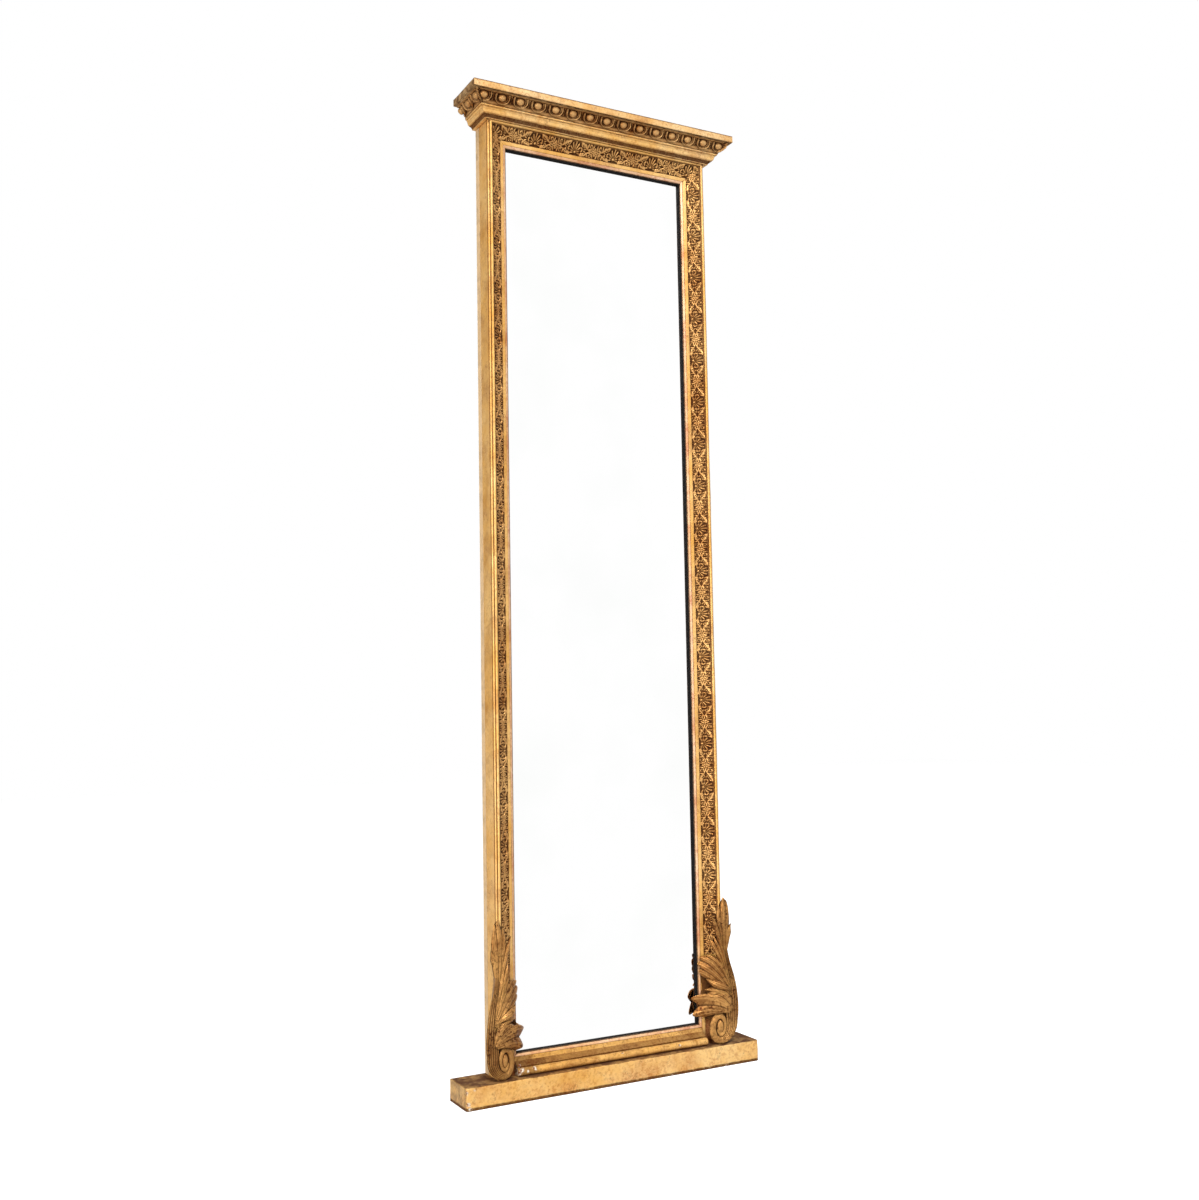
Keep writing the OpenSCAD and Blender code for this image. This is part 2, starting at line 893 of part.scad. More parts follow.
module tail_outline() {
    polygon([
        [-0.84 * tail_w, leaf_h],
        [bracket_edge(leaf_h), leaf_h],
        [waist_out, waist_h],
        [0.66 * low_lobe_r, waist_h + 2 * low_lobe_r],
        [0.3 * tip_lobe_r, bracket_h - 0.6 * tip_lobe_r],
        [-0.76 * tail_w, bracket_h - 1.5 * tip_lobe_r],
        [-tail_w, bracket_h - 2.8 * tip_lobe_r],
        [-0.64 * tail_w, waist_h + 0.8 * low_lobe_r]
    ]);
}

module low_lobe_outline() {
    translate([0, waist_h + 2 * low_lobe_r]) circle(r = low_lobe_r);
}

module tip_lobe_outline() {
    translate([-0.15 * tip_lobe_r, bracket_h - tip_lobe_r]) circle(r = tip_lobe_r);
}

// plans, with o out from the frame's side and d forward; the back is scribed over the moulding
module bracket_low_plan() {
    polygon([
        [scroll_out + past, bracket_back_d],
        [scroll_out + past, bracket_edge_d],
        [scroll_out - edge_fall, bracket_d],
        [-2 * edge_fall, bracket_d],
        [-moulding_w + leaf_root / 3, bracket_d - 1.5 * edge_fall],
        [leaf_in - slip_w / 2, leaf_floor_d + leaf_t],
        [leaf_in - slip_w / 2, leaf_floor_d],
        [-moulding_w, leaf_floor_d],
        [-hollow_in_a, fillet_out_d + leaf_seat_gap],
        [-bead_zone_w - quirk_w, frame_d],
        [bracket_side_gap, frame_d],
        [bracket_side_gap, bracket_back_d]
    ]);
}

module bracket_high_plan() {
    polygon([
        [scroll_out, bracket_back_d + high_rise],
        [scroll_out, bracket_edge_d],
        [waist_out, bracket_d - high_rise / 4],
        [stem_in - past, bracket_d - high_rise / 2],
        [stem_in - past, frame_d],
        [bracket_side_gap, frame_d],
        [bracket_side_gap, bracket_back_d + high_rise]
    ]);
}

// outlines in (o, h) run forward on the right side of the frame
module right_forward() {
    translate([frame_w / 2, 0, frame_z]) forward(0, bracket_d + past) children();
}

// a plan in (o, d) stood up on the right side of the frame
module right_upward(h0, h1) {
    translate([frame_w / 2, back_y, frame_z + h0])
        mirror([0, 1, 0])
        linear_extrude(height = h1 - h0) children();
}

module right_bracket_plain() {
    difference() {
        union() {
            intersection() {
                union() {
                    right_forward() scroll_outline();
                    right_forward() stem_outline();
                    right_forward() upper_curl_outline();
                    right_forward() low_leaf_outline();
                }
                right_upward(0, leaf_h) bracket_low_plan();
            }
            intersection() {
                union() {
                    right_forward() tail_outline();
                    right_forward() low_lobe_outline();
                    right_forward() tip_lobe_outline();
                }
                right_upward(leaf_h, bracket_h) bracket_high_plan();
            }
        }
        pin_shapes(fit_gap);
    }
}

module right_scroll_bracket() {
    color(bronze_gilt) right_bracket_plain();
}

module left_scroll_bracket() {
    color(bronze_gilt) mirrored() right_bracket_plain();
}

module bracket_pins() {
    color(brass) pin_shapes();
}

// ---------- cornice ----------

// in front, the lap hangs forward of the frame's beads
module bed_front_section() {
    difference() {
        polygon([
            [0, 0],
            [lap_seat_p, 0],
            [lap_seat_p, -bed_lap],
            [bed_out, -bed_lap],
            [bed_out, 0],
            [bed_top_p, bed_h - bed_fillet_h],
            [bed_fillet_p, bed_h - bed_fillet_h],
            [bed_fillet_p, bed_h],
            [0, bed_h]
        ]);
        translate([bed_out, -bed_lap]) circle(r = cove_r);
    }
}

module bed_side_section() {
    difference() {
        polygon([
            [0, -bed_lap],
            [bed_out, -bed_lap],
            [bed_out, 0],
            [bed_top_p, bed_h - bed_fillet_h],
            [bed_fillet_p, bed_h - bed_fillet_h],
            [bed_fillet_p, bed_h],
            [0, bed_h]
        ]);
        translate([bed_out, -bed_lap]) circle(r = cove_r);
    }
}

module egg_section() {
    square([bed_fillet_p, egg_h]);
    intersection() {
        translate([bed_fillet_p, egg_h]) circle(r = ovolo_r);
        translate([bed_fillet_p - past, 0]) square([ovolo_r + 2 * past, egg_h]);
    }
}

// a section in (p, q) run along the front of the core, p forward and q up
module along_front(z0) {
    length = frame_w + 2 * mitre_run;
    translate([-length / 2, back_y - core_d, z0])
        rotate([90, 0, 90])
        mirror([1, 0, 0])
        linear_extrude(height = length) children();
}

// the same section run along the left side of the core
module along_left(z0) {
    translate([-half_core, back_y, z0])
        rotate([90, 0, 0])
        mirror([1, 0, 0])
        linear_extrude(height = core_d + mitre_run) children();
}

module front_mitre() {
    translate([0, back_y, frame_top - bed_lap - past])
        mirror([0, 1, 0])
        linear_extrude(height = bed_lap + bed_h + egg_h + 2 * past) polygon([
            [-half_core, core_d],
            [half_core, core_d],
            [half_core + mitre_run, core_d + mitre_run],
            [-half_core - mitre_run, core_d + mitre_run]
        ]);
}

module left_mitre() {
    translate([0, back_y, frame_top - bed_lap - past])
        mirror([0, 1, 0])
        linear_extrude(height = bed_lap + bed_h + egg_h + 2 * past) polygon([
            [-half_core, 0],
            [-half_core, core_d],
            [-half_core - mitre_run, core_d + mitre_run],
            [-half_core - mitre_run, 0]
        ]);
}

module cornice_core() {
    color(pine) difference() {
        block(-half_core, half_core, 0, core_d, frame_top, egg_top);
        core_screw_shapes(fit_gap);
        cap_nail_shapes(fit_gap);
    }
}

module core_screws() {
    color(iron) core_screw_shapes();
}

module front_bed_moulding() {
    color(gilt) intersection() {
        along_front(frame_top) bed_front_section();
        front_mitre();
    }
}

module left_bed_plain() {
    intersection() {
        along_left(frame_top) bed_side_section();
        left_mitre();
    }
}

module left_bed_moulding() {
    color(gilt) left_bed_plain();
}

module right_bed_moulding() {
    color(gilt) mirrored() left_bed_plain();
}

module front_egg_moulding() {
    color(ornament_gilt) intersection() {
        along_front(bed_top) egg_section();
        front_mitre();
    }
}

module left_egg_plain() {
    intersection() {
        along_left(bed_top) egg_section();
        left_mitre();
    }
}

module left_egg_moulding() {
    color(ornament_gilt) left_egg_plain();
}

module right_egg_moulding() {
    color(ornament_gilt) mirrored() left_egg_plain();
}

module cornice_cap() {
    color(gilt) difference() {
        block(-half_core - cap_out, half_core + cap_out, 0, cap_d, egg_top, egg_top + cap_t);
        cap_nail_shapes(fit_gap);
    }
}

module cap_nails() {
    color(iron) cap_nail_shapes();
}

// ---------- hanging plates ----------

module hanging_plate(side) {
    x = side * (frame_w / 2 - hook_a);
    color(iron) difference() {
        block(x - plate_w / 2, x + plate_w / 2, 0, plate_t, hook_z - plate_l / 2, hook_z + plate_l / 2);
        bar_forward(x, -past, hook_z, hook_r, plate_t + 2 * past);
        plate_screw_shapes(fit_gap);
    }
}

module left_hanging_plate() {
    hanging_plate(-1);
}

module right_hanging_plate() {
    hanging_plate(1);
}

module hanging_plate_screws() {
    color(iron) plate_screw_shapes();
}

plinth_block();
plinth_screws();
left_stile_moulding();
right_stile_moulding();
top_rail_moulding();
bottom_rail_moulding();
mitre_tongues();
rail_dowels();
left_back_stile();
right_back_stile();
top_back_rail();
bottom_back_rail();
back_frame_screws();
left_composition_strip();
right_composition_strip();
top_composition_strip();
left_sight_slip();
right_sight_slip();
top_sight_slip();
bottom_sight_slip();
left_black_fillet();
right_black_fillet();
top_black_fillet();
bottom_black_fillet();
mirror_plate();
glass_blocks();
upper_backboard();
middle_backboard();
lower_backboard();
backboard_nails();
left_scroll_bracket();
right_scroll_bracket();
bracket_pins();
cornice_core();
core_screws();
front_bed_moulding();
left_bed_moulding();
right_bed_moulding();
front_egg_moulding();
left_egg_moulding();
right_egg_moulding();
cornice_cap();
cap_nails();
left_hanging_plate();
right_hanging_plate();
hanging_plate_screws();
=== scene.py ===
"""Pier mirror: a tall moulded gilt frame on a plinth, with an egg-and-dart cornice and two carved scroll brackets.

Sizes are in millimetres. A point is (x, depth, z): x to the right, depth forward from the wall plane and z up from
the floor, and place() turns it to the row frame in metres.
"""

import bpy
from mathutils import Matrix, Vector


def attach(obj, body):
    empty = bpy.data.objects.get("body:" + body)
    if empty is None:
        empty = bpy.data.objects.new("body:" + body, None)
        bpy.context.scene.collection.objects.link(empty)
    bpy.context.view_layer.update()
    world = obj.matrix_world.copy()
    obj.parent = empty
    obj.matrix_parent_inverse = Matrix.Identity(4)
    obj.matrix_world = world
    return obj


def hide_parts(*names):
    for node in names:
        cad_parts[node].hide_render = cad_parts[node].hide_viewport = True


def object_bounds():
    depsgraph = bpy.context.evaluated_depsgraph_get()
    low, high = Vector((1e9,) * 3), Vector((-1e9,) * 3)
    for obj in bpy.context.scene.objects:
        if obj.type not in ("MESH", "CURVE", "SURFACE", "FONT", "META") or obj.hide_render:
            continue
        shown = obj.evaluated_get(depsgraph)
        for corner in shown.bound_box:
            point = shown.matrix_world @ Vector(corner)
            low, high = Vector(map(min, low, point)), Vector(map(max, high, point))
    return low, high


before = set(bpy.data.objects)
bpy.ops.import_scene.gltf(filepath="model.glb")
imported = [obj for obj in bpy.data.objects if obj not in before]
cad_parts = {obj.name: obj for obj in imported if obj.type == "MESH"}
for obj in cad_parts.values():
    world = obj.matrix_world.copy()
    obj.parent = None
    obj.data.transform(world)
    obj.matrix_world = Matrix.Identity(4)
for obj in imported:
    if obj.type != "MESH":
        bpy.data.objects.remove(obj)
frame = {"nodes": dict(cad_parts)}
CAD_BOX = [list(corner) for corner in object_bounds()]

import logging
import math
from dataclasses import dataclass, replace
from enum import Enum
from functools import cache
from typing import Optional, Sequence

import bmesh
import bpy
import numpy as np
from mathutils import Matrix

Array = np.ndarray
Spot = tuple[float, float, float, float]
log = logging.getLogger("pier_mirror")


# ---------------------------------------------------------------- sizes


@dataclass(frozen=True)
class FrameSizes:
    """The driving sizes of the frame, in mm, as the solids have them, and what follows from them."""

    frame_w: float = 475.0
    frame_h: float = 1744.0
    plinth_h: float = 39.0
    plinth_side_over: float = 67.5
    plinth_front_over: float = 14.0
    back_frame_t: float = 15.0
    side_d: float = 50.6
    small_bead_rise: float = 0.7
    large_bead_rise: float = 4.2
    hollow_rise: float = 6.2
    bead_small_r: float = 2.3
    bead_large_r: float = 2.6
    bead_zone_w: float = 8.8
    quirk_w: float = 1.2
    hollow_w: float = 23.5
    hollow_drop: float = 18.2
    hollow_sag: float = 2.5
    fillet_w: float = 7.0
    fillet_rise: float = 2.2
    fillet_fall: float = 1.4
    lip_t: float = 4.4
    rebate_w: float = 6.3
    slip_w: float = 6.0
    slip_t: float = 3.8
    slip_edge_t: float = 1.0
    bottom_rail_h: float = 30.8
    torus_r: float = 7.15
    torus_gap: float = 1.6
    strip_t: float = 3.0
    strip_gap: float = 0.4
    leaf_h: float = 168.0
    bed_h: float = 15.0
    bed_out: float = 13.0
    bed_lean: float = 5.5
    bed_fillet_out: float = 2.5
    bed_fillet_h: float = 3.0
    bed_lap: float = 5.0
    cove_r: float = 6.0
    egg_h: float = 19.0
    ovolo_r: float = 16.5
    core_set_back: float = 4.5
    cap_out: float = 44.5
    cap_t: float = 13.0

    @property
    def half_w(self) -> float:
        """Half the width of the frame."""
        return self.frame_w / 2

    @property
    def frame_top(self) -> float:
        """Height of the top of the frame."""
        return self.plinth_h + self.frame_h

    @property
    def hollow_out_d(self) -> float:
        """Depth of the hollow's outer edge."""
        return self.side_d + self.hollow_rise

    @property
    def hollow_in_a(self) -> float:
        """Inset of the hollow's inner edge."""
        return self.bead_zone_w + self.hollow_w

    @property
    def hollow_in_d(self) -> float:
        """Depth of the hollow's inner edge."""
        return self.hollow_out_d - self.hollow_drop

    @property
    def moulding_w(self) -> float:
        """Width of the frame moulding's face."""
        return self.hollow_in_a + self.fillet_w

    @property
    def fillet_out_d(self) -> float:
        """Depth of the fillet's outer edge."""
        return self.hollow_in_d + self.fillet_rise

    @property
    def fillet_in_d(self) -> float:
        """Depth of the fillet's inner edge."""
        return self.fillet_out_d - self.fillet_fall

    @property
    def lip_back_d(self) -> float:
        """Depth of the back of the lip that covers the glass."""
        return self.fillet_in_d - self.lip_t

    @property
    def rebate_a(self) -> float:
        """Inset of the rebate wall."""
        return self.moulding_w - self.rebate_w

    @property
    def sight_a(self) -> float:
        """Inset of the sight edge."""
        return self.moulding_w + self.slip_w

    @property
    def frame_d(self) -> float:
        """Depth of the front of the large bead."""
        return self.side_d + self.large_bead_rise + 2 * self.bead_large_r

    @property
    def core_d(self) -> float:
        """Depth of the cornice core."""
        return self.frame_d - self.core_set_back

    @property
    def back_y(self) -> float:
        """Where the wall plane lies on Y."""
        return (self.core_d + self.cap_out) / 2

    @property
    def bed_top_p(self) -> float:
        """Projection of the top of the bed moulding's face."""
        return self.bed_out + self.bed_lean

    @property
    def bed_fillet_p(self) -> float:
        """Projection of the fillet on top of the bed moulding."""
        return self.bed_top_p + self.bed_fillet_out

    @property
    def bed_top(self) -> float:
        """Height of the top of the bed moulding."""
        return self.frame_top + self.bed_h

    @property
    def egg_top(self) -> float:
        """Height of the top of the egg moulding."""
        return self.bed_top + self.egg_h

    def hollow_circle(self) -> tuple[float, float, float]:
        """The circle that the hollow follows.

        Returns:
            Its centre's inset and depth, and its radius, from the chord across the hollow and its sag.
        """
        chord = math.hypot(self.hollow_w, self.hollow_drop)
        radius = ((chord / 2) ** 2 + self.hollow_sag**2) / (2 * self.hollow_sag)
        turn = math.atan2(self.hollow_drop, self.hollow_w)
        reach = radius - self.hollow_sag
        mid_a = self.bead_zone_w + self.hollow_w / 2
        mid_d = self.hollow_out_d - self.hollow_drop / 2
        return mid_a + reach * math.sin(turn), mid_d + reach * math.cos(turn), radius


SIZES = FrameSizes()


class Side(Enum):
    """Which half of the mirror a piece belongs to, as its name says it."""

    LEFT = "left"
    RIGHT = "right"


# ---------------------------------------------------------------- numbers


def place(x: Array, depth: Array, z: Array) -> Array:
    """Points in the row frame.

    Args:
        x: x in mm.
        depth: depth forward of the wall plane in mm.
        z: height in mm.

    Returns:
        The points in metres, with a last axis of 3.
    """
    x, depth, z = np.broadcast_arrays(x, depth, z)
    return np.stack([x, SIZES.back_y - depth, z], axis=-1) / 1000.0


def bezier(points: Sequence[Sequence[float]], u: Array) -> Array:
    """A cubic Bezier curve: the sum of its four points weighted by the Bernstein polynomials of u.

    Args:
        points: four control points.
        u: parameter from 0 to 1.

    Returns:
        The points on the curve, one row for each u.
    """
    p = [np.asarray(point, float) for point in points]
    u = np.asarray(u, float)[..., None]
    v = 1 - u
    return v**3 * p[0] + 3 * v**2 * u * p[1] + 3 * v * u**2 * p[2] + u**3 * p[3]


def smooth_through(knots: Sequence[float], values: Sequence[float], at: Array) -> Array:
    """A curve through knots: piecewise cubic Hermite, with the slope at a knot the mean of the slopes beside it.

    Args:
        knots: rising parameters.
        values: the value at each knot.
        at: where to read the curve.

    Returns:
        The values there.
    """
    x, y = np.asarray(knots, float), np.asarray(values, float)
    slope = np.diff(y) / np.diff(x)
    tangent = np.concatenate([[slope[0]], (slope[1:] + slope[:-1]) / 2, [slope[-1]]])
    i = np.clip(np.searchsorted(x, at, side="right") - 1, 0, len(x) - 2)
    width = x[i + 1] - x[i]
    t = np.clip((at - x[i]) / width, 0, 1)
    return (
        (2 * t**3 - 3 * t**2 + 1) * y[i]
        + (t**3 - 2 * t**2 + t) * width * tangent[i]
        + (3 * t**2 - 2 * t**3) * y[i + 1]
        + (t**3 - t**2) * width * tangent[i + 1]
    )


def ripple(points: Array, wavelength: float, seed: int) -> Array:
    """Soft unevenness: the mean of twelve sine waves in random directions, with wavelengths near the one given.

    Args:
        points: points in mm, with a last axis of 3.
        wavelength: typical wavelength in mm.
        seed: seed of the random directions and phases.

    Returns:
        A value from about -1 to 1 at each point.
    """
    rng = np.random.default_rng(seed)
    direction = rng.normal(size=(12, 3))
    direction /= np.linalg.norm(direction, axis=1)[:, None]
    length = wavelength * rng.uniform(0.6, 1.6, 12)
    phase = rng.uniform(0, 2 * np.pi, 12)
    wave = np.sin(points @ (direction / length[:, None] * 2 * np.pi).T + phase)
    return wave.mean(axis=-1) * 2.2


def softened(loop: Array, radius: float, least_turn: float = 24.0) -> Array:
    """A closed outline with its sharp corners cut round: each becomes three points of a quadratic curve.

    Args:
        loop: the outline's points, (n, 2).
        radius: how far along each edge the rounding starts, at most a third of the edge.
        least_turn: corners that turn less than this, in degrees, are kept.

    Returns:
        The new outline.
    """
    before, after = np.roll(loop, 1, axis=0) - loop, np.roll(loop, -1, axis=0) - loop
    back, ahead = np.linalg.norm(before, axis=1), np.linalg.norm(after, axis=1)
    cosine = -(before * after).sum(1) / np.maximum(back * ahead, 1e-9)
    sharp = np.degrees(np.arccos(np.clip(cosine, -1, 1))) > least_turn
    reach = np.where(sharp, np.minimum(radius, np.minimum(back, ahead) / 3), 0.0)
    start = loop + before / np.maximum(back, 1e-9)[:, None] * reach[:, None]
    end = loop + after / np.maximum(ahead, 1e-9)[:, None] * reach[:, None]
    middle = 0.25 * start + 0.5 * loop + 0.25 * end
    rows = np.stack([start, middle, end], axis=1).reshape(-1, 2)
    keep = np.stack([sharp, np.ones_like(sharp), sharp], axis=1).ravel()
    return rows[keep]


def refined(loop: Array, step: float) -> Array:
    """A closed outline with extra points, so that no edge is longer than a step.

    Args:
        loop: the outline's points, (n, 2).
        step: longest edge in mm.

    Returns:
        The outline with its own corners and the extra points.
    """
    closed = np.vstack([loop, loop[:1]])
    along = np.concatenate([[0], np.cumsum(np.linalg.norm(np.diff(closed, axis=0), axis=1))])
    marks = np.arange(0, along[-1], step)
    near = np.abs(marks[:, None] - along[None, :]).min(axis=1) < step * 0.4
    t = np.unique(np.concatenate([along[:-1], marks[~near]]))
    return np.stack([np.interp(t, along, closed[:, k]) for k in (0, 1)], axis=1)


def arc(centre: tuple[float, float], radius: float, start: float, end: float, count: int) -> Array:
    """Points on a circular arc, the centre plus the radius times the cosine and sine of the angle.

    Args:
        centre: the circle's centre.
        radius: its radius.
        start: first angle in degrees.
        end: last angle in degrees.
        count: number of points.

    Returns:
        The points, (count, 2).
    """
    angle = np.radians(np.linspace(start, end, count))
    return np.stack([centre[0] + radius * np.cos(angle), centre[1] + radius * np.sin(angle)], axis=1)


def unit(vectors: Array) -> Array:
    """The same directions at length one, along the last axis."""
    return vectors / np.maximum(np.linalg.norm(vectors, axis=-1), 1e-9)[..., None]


def grid_normals(points: Array) -> Array:
    """Unit normals of rings of points, the cross product of the differences along and round the rings.

    Args:
        points: rings of points, (rings, round, 3), each ring closed.

    Returns:
        The normals, outwards if the ring runs clockwise about the direction of travel.
    """
    along = np.gradient(points, axis=0)
    around = np.roll(points, -1, axis=1) - np.roll(points, 1, axis=1)
    normal = unit(np.cross(around, along))
    centre = points.mean(axis=1, keepdims=True)
    outward = ((points - centre) * normal).sum() < 0
    return -normal if outward else normal


# ---------------------------------------------------------------- finishes


def linear(colour: str) -> tuple[float, float, float, float]:
    """A colour written as sRGB hex, turned to linear.

    Args:
        colour: six hex digits after a hash.

    Returns:
        Linear red, green and blue, and an alpha of 1.
    """
    parts = np.array([int(colour[i : i + 2], 16) for i in (1, 3, 5)]) / 255.0
    value = np.where(parts <= 0.04045, parts / 12.92, ((parts + 0.055) / 1.055) ** 2.4)
    return float(value[0]), float(value[1]), float(value[2]), 1.0


def per_metre(size_mm: float) -> float:
    """The scale of a pattern whose features are size_mm across, on Object coordinates in metres."""
    return 1000.0 / size_mm


class Node(Enum):
    """The kinds of node in use: type, inputs in order with their usual values, the output read, and settings."""

    PLACE = ("TexCoord", {}, "Object", {})
    WAY = ("TexCoord", {}, "Generated", {})
    STRETCH = ("Mapping", {"Vector": None, "Scale": None}, "Vector", {})
    NOISE = ("TexNoise", {"Vector": None, "Scale": None, "Detail": 3, "Roughness": 0.6}, "Fac", {})
    RANGE = (
        "MapRange",
        {"Value": None, "From Min": 0, "From Max": 1, "To Min": 0, "To Max": 1},
        "Result",
        {"clamp": True},
    )
    PLUS = ("Math", {0: None, 1: None}, 0, {"operation": "ADD", "use_clamp": True})
    TIMES = ("Math", {0: None, 1: None}, 0, {"operation": "MULTIPLY", "use_clamp": True})
    GREATER = ("Math", {0: None, 1: None}, 0, {"operation": "MAXIMUM", "use_clamp": True})
    UNSIGNED = ("Math", {0: None}, 0, {"operation": "ABSOLUTE"})
    OVER = ("Mix", {0: None, 6: None, 7: None}, 2, {"data_type": "RGBA"})
    BETWEEN = ("Mix", {0: None, 2: None, 3: None}, 0, {"data_type": "FLOAT"})
    ATTRIBUTE = ("Attribute", {}, "Fac", {})
    ACROSS = ("SeparateXYZ", {"Vector": None}, "X", {})
    SHUT_IN = ("AmbientOcclusion", {"Distance": None}, "AO", {"samples": 6})
    ROUNDED = ("Bevel", {"Radius": None}, "Normal", {"samples": 4})
    NORMAL = ("NewGeometry", {}, "Normal", {})
    ALONG = ("VectorMath", {0: None, 1: None}, "Value", {"operation": "DOT_PRODUCT"})
    BUMP = ("Bump", {"Height": None, "Distance": None, "Strength": 1.0}, "Normal", {})
    SHADER = (
        "BsdfPrincipled",
        {"Base Color": None, "Roughness": None, "Normal": None, "Metallic": None, "Specular IOR Level": None},
        "BSDF",
        {},
    )
    SURFACE = ("OutputMaterial", {"Surface": None}, None, {})
    CAMERA_RAY = ("LightPath", {}, "Is Camera Ray", {})
    GLASS_RAY = ("LightPath", {}, "Is Transmission Ray", {})
    GLOSS_RAY = ("LightPath", {}, "Is Glossy Ray", {})
    BACKGROUND = ("Background", {"Color": None, "Strength": 1.0}, "Background", {})
    SKY = ("OutputWorld", {"Surface": None}, None, {})
    DIFFUSE = ("BsdfDiffuse", {"Color": None}, "BSDF", {})
    GLOW = ("Emission", {"Color": None, "Strength": 1.0}, "Emission", {})
    BOTH = ("AddShader", {0: None, 1: None}, 0, {})
    EITHER = ("MixShader", {0: None, 1: None, 2: None}, 0, {})


# shares of open sky, and agreements of rounded and true normal, over which these masks go from nothing to full
OPEN_TO_SHUT = (0.85, 0.35)
FLAT_TO_EDGE = (0.985, 0.86)


class Paint:
    """The node tree of a new material or world, and the one function that adds a node to it."""

    def __init__(self, owner: bpy.types.ID) -> None:
        """Empties the tree of a material or world."""
        owner.use_nodes = True
        self.owner, self.tree = owner, owner.node_tree
        self.tree.nodes.clear()

    def add(self, kind: Node, *inputs: object, **settings: object) -> Optional[bpy.types.NodeSocket]:
        """Adds a node with its settings, and fills its inputs.

        Args:
            kind: the kind of node.
            inputs: for each input in order, the socket that feeds it, its value, or its colour in hex.
            settings: the node's own properties, besides those of its kind.

        Returns:
            The output that the kind names.
        """
        name, usual, output, fixed = kind.value
        made = self.tree.nodes.new("ShaderNode" + name)
        for key, value in {**fixed, **settings}.items():
            setattr(made, key, value)
        for key, item in {**usual, **dict(zip(usual, inputs))}.items():
            if isinstance(item, bpy.types.NodeSocket):
                self.tree.links.new(item, made.inputs[key])
            elif item is not None:
                made.inputs[key].default_value = linear(item) if isinstance(item, str) else item
        return None if output is None else made.outputs[output]

    def patterns(self, sizes: dict[str, tuple[float, float]], stretch: Sequence[float] = (1, 1, 1)) -> dict:
        """Noises of several sizes.

        Args:
            sizes: for each pattern its size in mm and its octaves of detail.
            stretch: scale along each axis, for grain.

        Returns:
            The value of each pattern.
        """
        where = self.add(Node.STRETCH, self.add(Node.PLACE), stretch)
        return {name: self.add(Node.NOISE, where, per_metre(mm), detail) for name, (mm, detail) in sizes.items()}

    def meet(self, *spreads: tuple) -> bpy.types.NodeSocket:
        """Where patterns meet: each is spread over its range, and they are multiplied.

        Args:
            spreads: a value with the two that become nothing and full, or with the two that they become as well.

        Returns:
            The product.
        """
        first, second = (self.add(Node.RANGE, *spread) for spread in spreads)
        return self.add(Node.TIMES, first, second)

    def layers(self, colour: object, coats: Sequence[tuple]) -> bpy.types.NodeSocket:
        """Coats of colour, each over the last where its mask says.

        Args:
            colour: what lies under them.
            coats: a mask, how strong the coat is at most, and its colour.

        Returns:
            The colour on top.
        """
        for mask, strength, coat in coats:
            colour = self.add(Node.OVER, self.add(Node.TIMES, mask, strength), colour, coat)
        return colour

    def crevice(self, reach_mm: float) -> bpy.types.NodeSocket:
        """How shut in a point is, from 0 in the open to 1 in a crevice no wider than about reach_mm."""
        return self.add(Node.RANGE, self.add(Node.SHUT_IN, reach_mm / 1000), *OPEN_TO_SHUT)

    def edge(self, reach_mm: float) -> bpy.types.NodeSocket:
        """Where the surface turns an outer edge: the rounded normal parts from the true one."""
        agreement = self.add(Node.ALONG, self.add(Node.ROUNDED, reach_mm / 1000), self.add(Node.NORMAL))
        return self.add(Node.RANGE, agreement, *FLAT_TO_EDGE)

    def finish(
        self, colour: object, roughness: object, bump: object, bump_mm: float, *others: object
    ) -> bpy.types.Material:
        """Closes a material's tree with its shader.

        Args:
            colour: colour socket.
            roughness: roughness socket.
            bump: height socket.
            bump_mm: height of the bump.
            others: how metallic it is, and the level of its specular reflection where that isn't the usual one.

        Returns:
            The material.
        """
        relief = self.add(Node.BUMP, bump, bump_mm / 1000)
        self.add(Node.SURFACE, self.add(Node.SHADER, colour, roughness, relief, *others))
        return self.owner


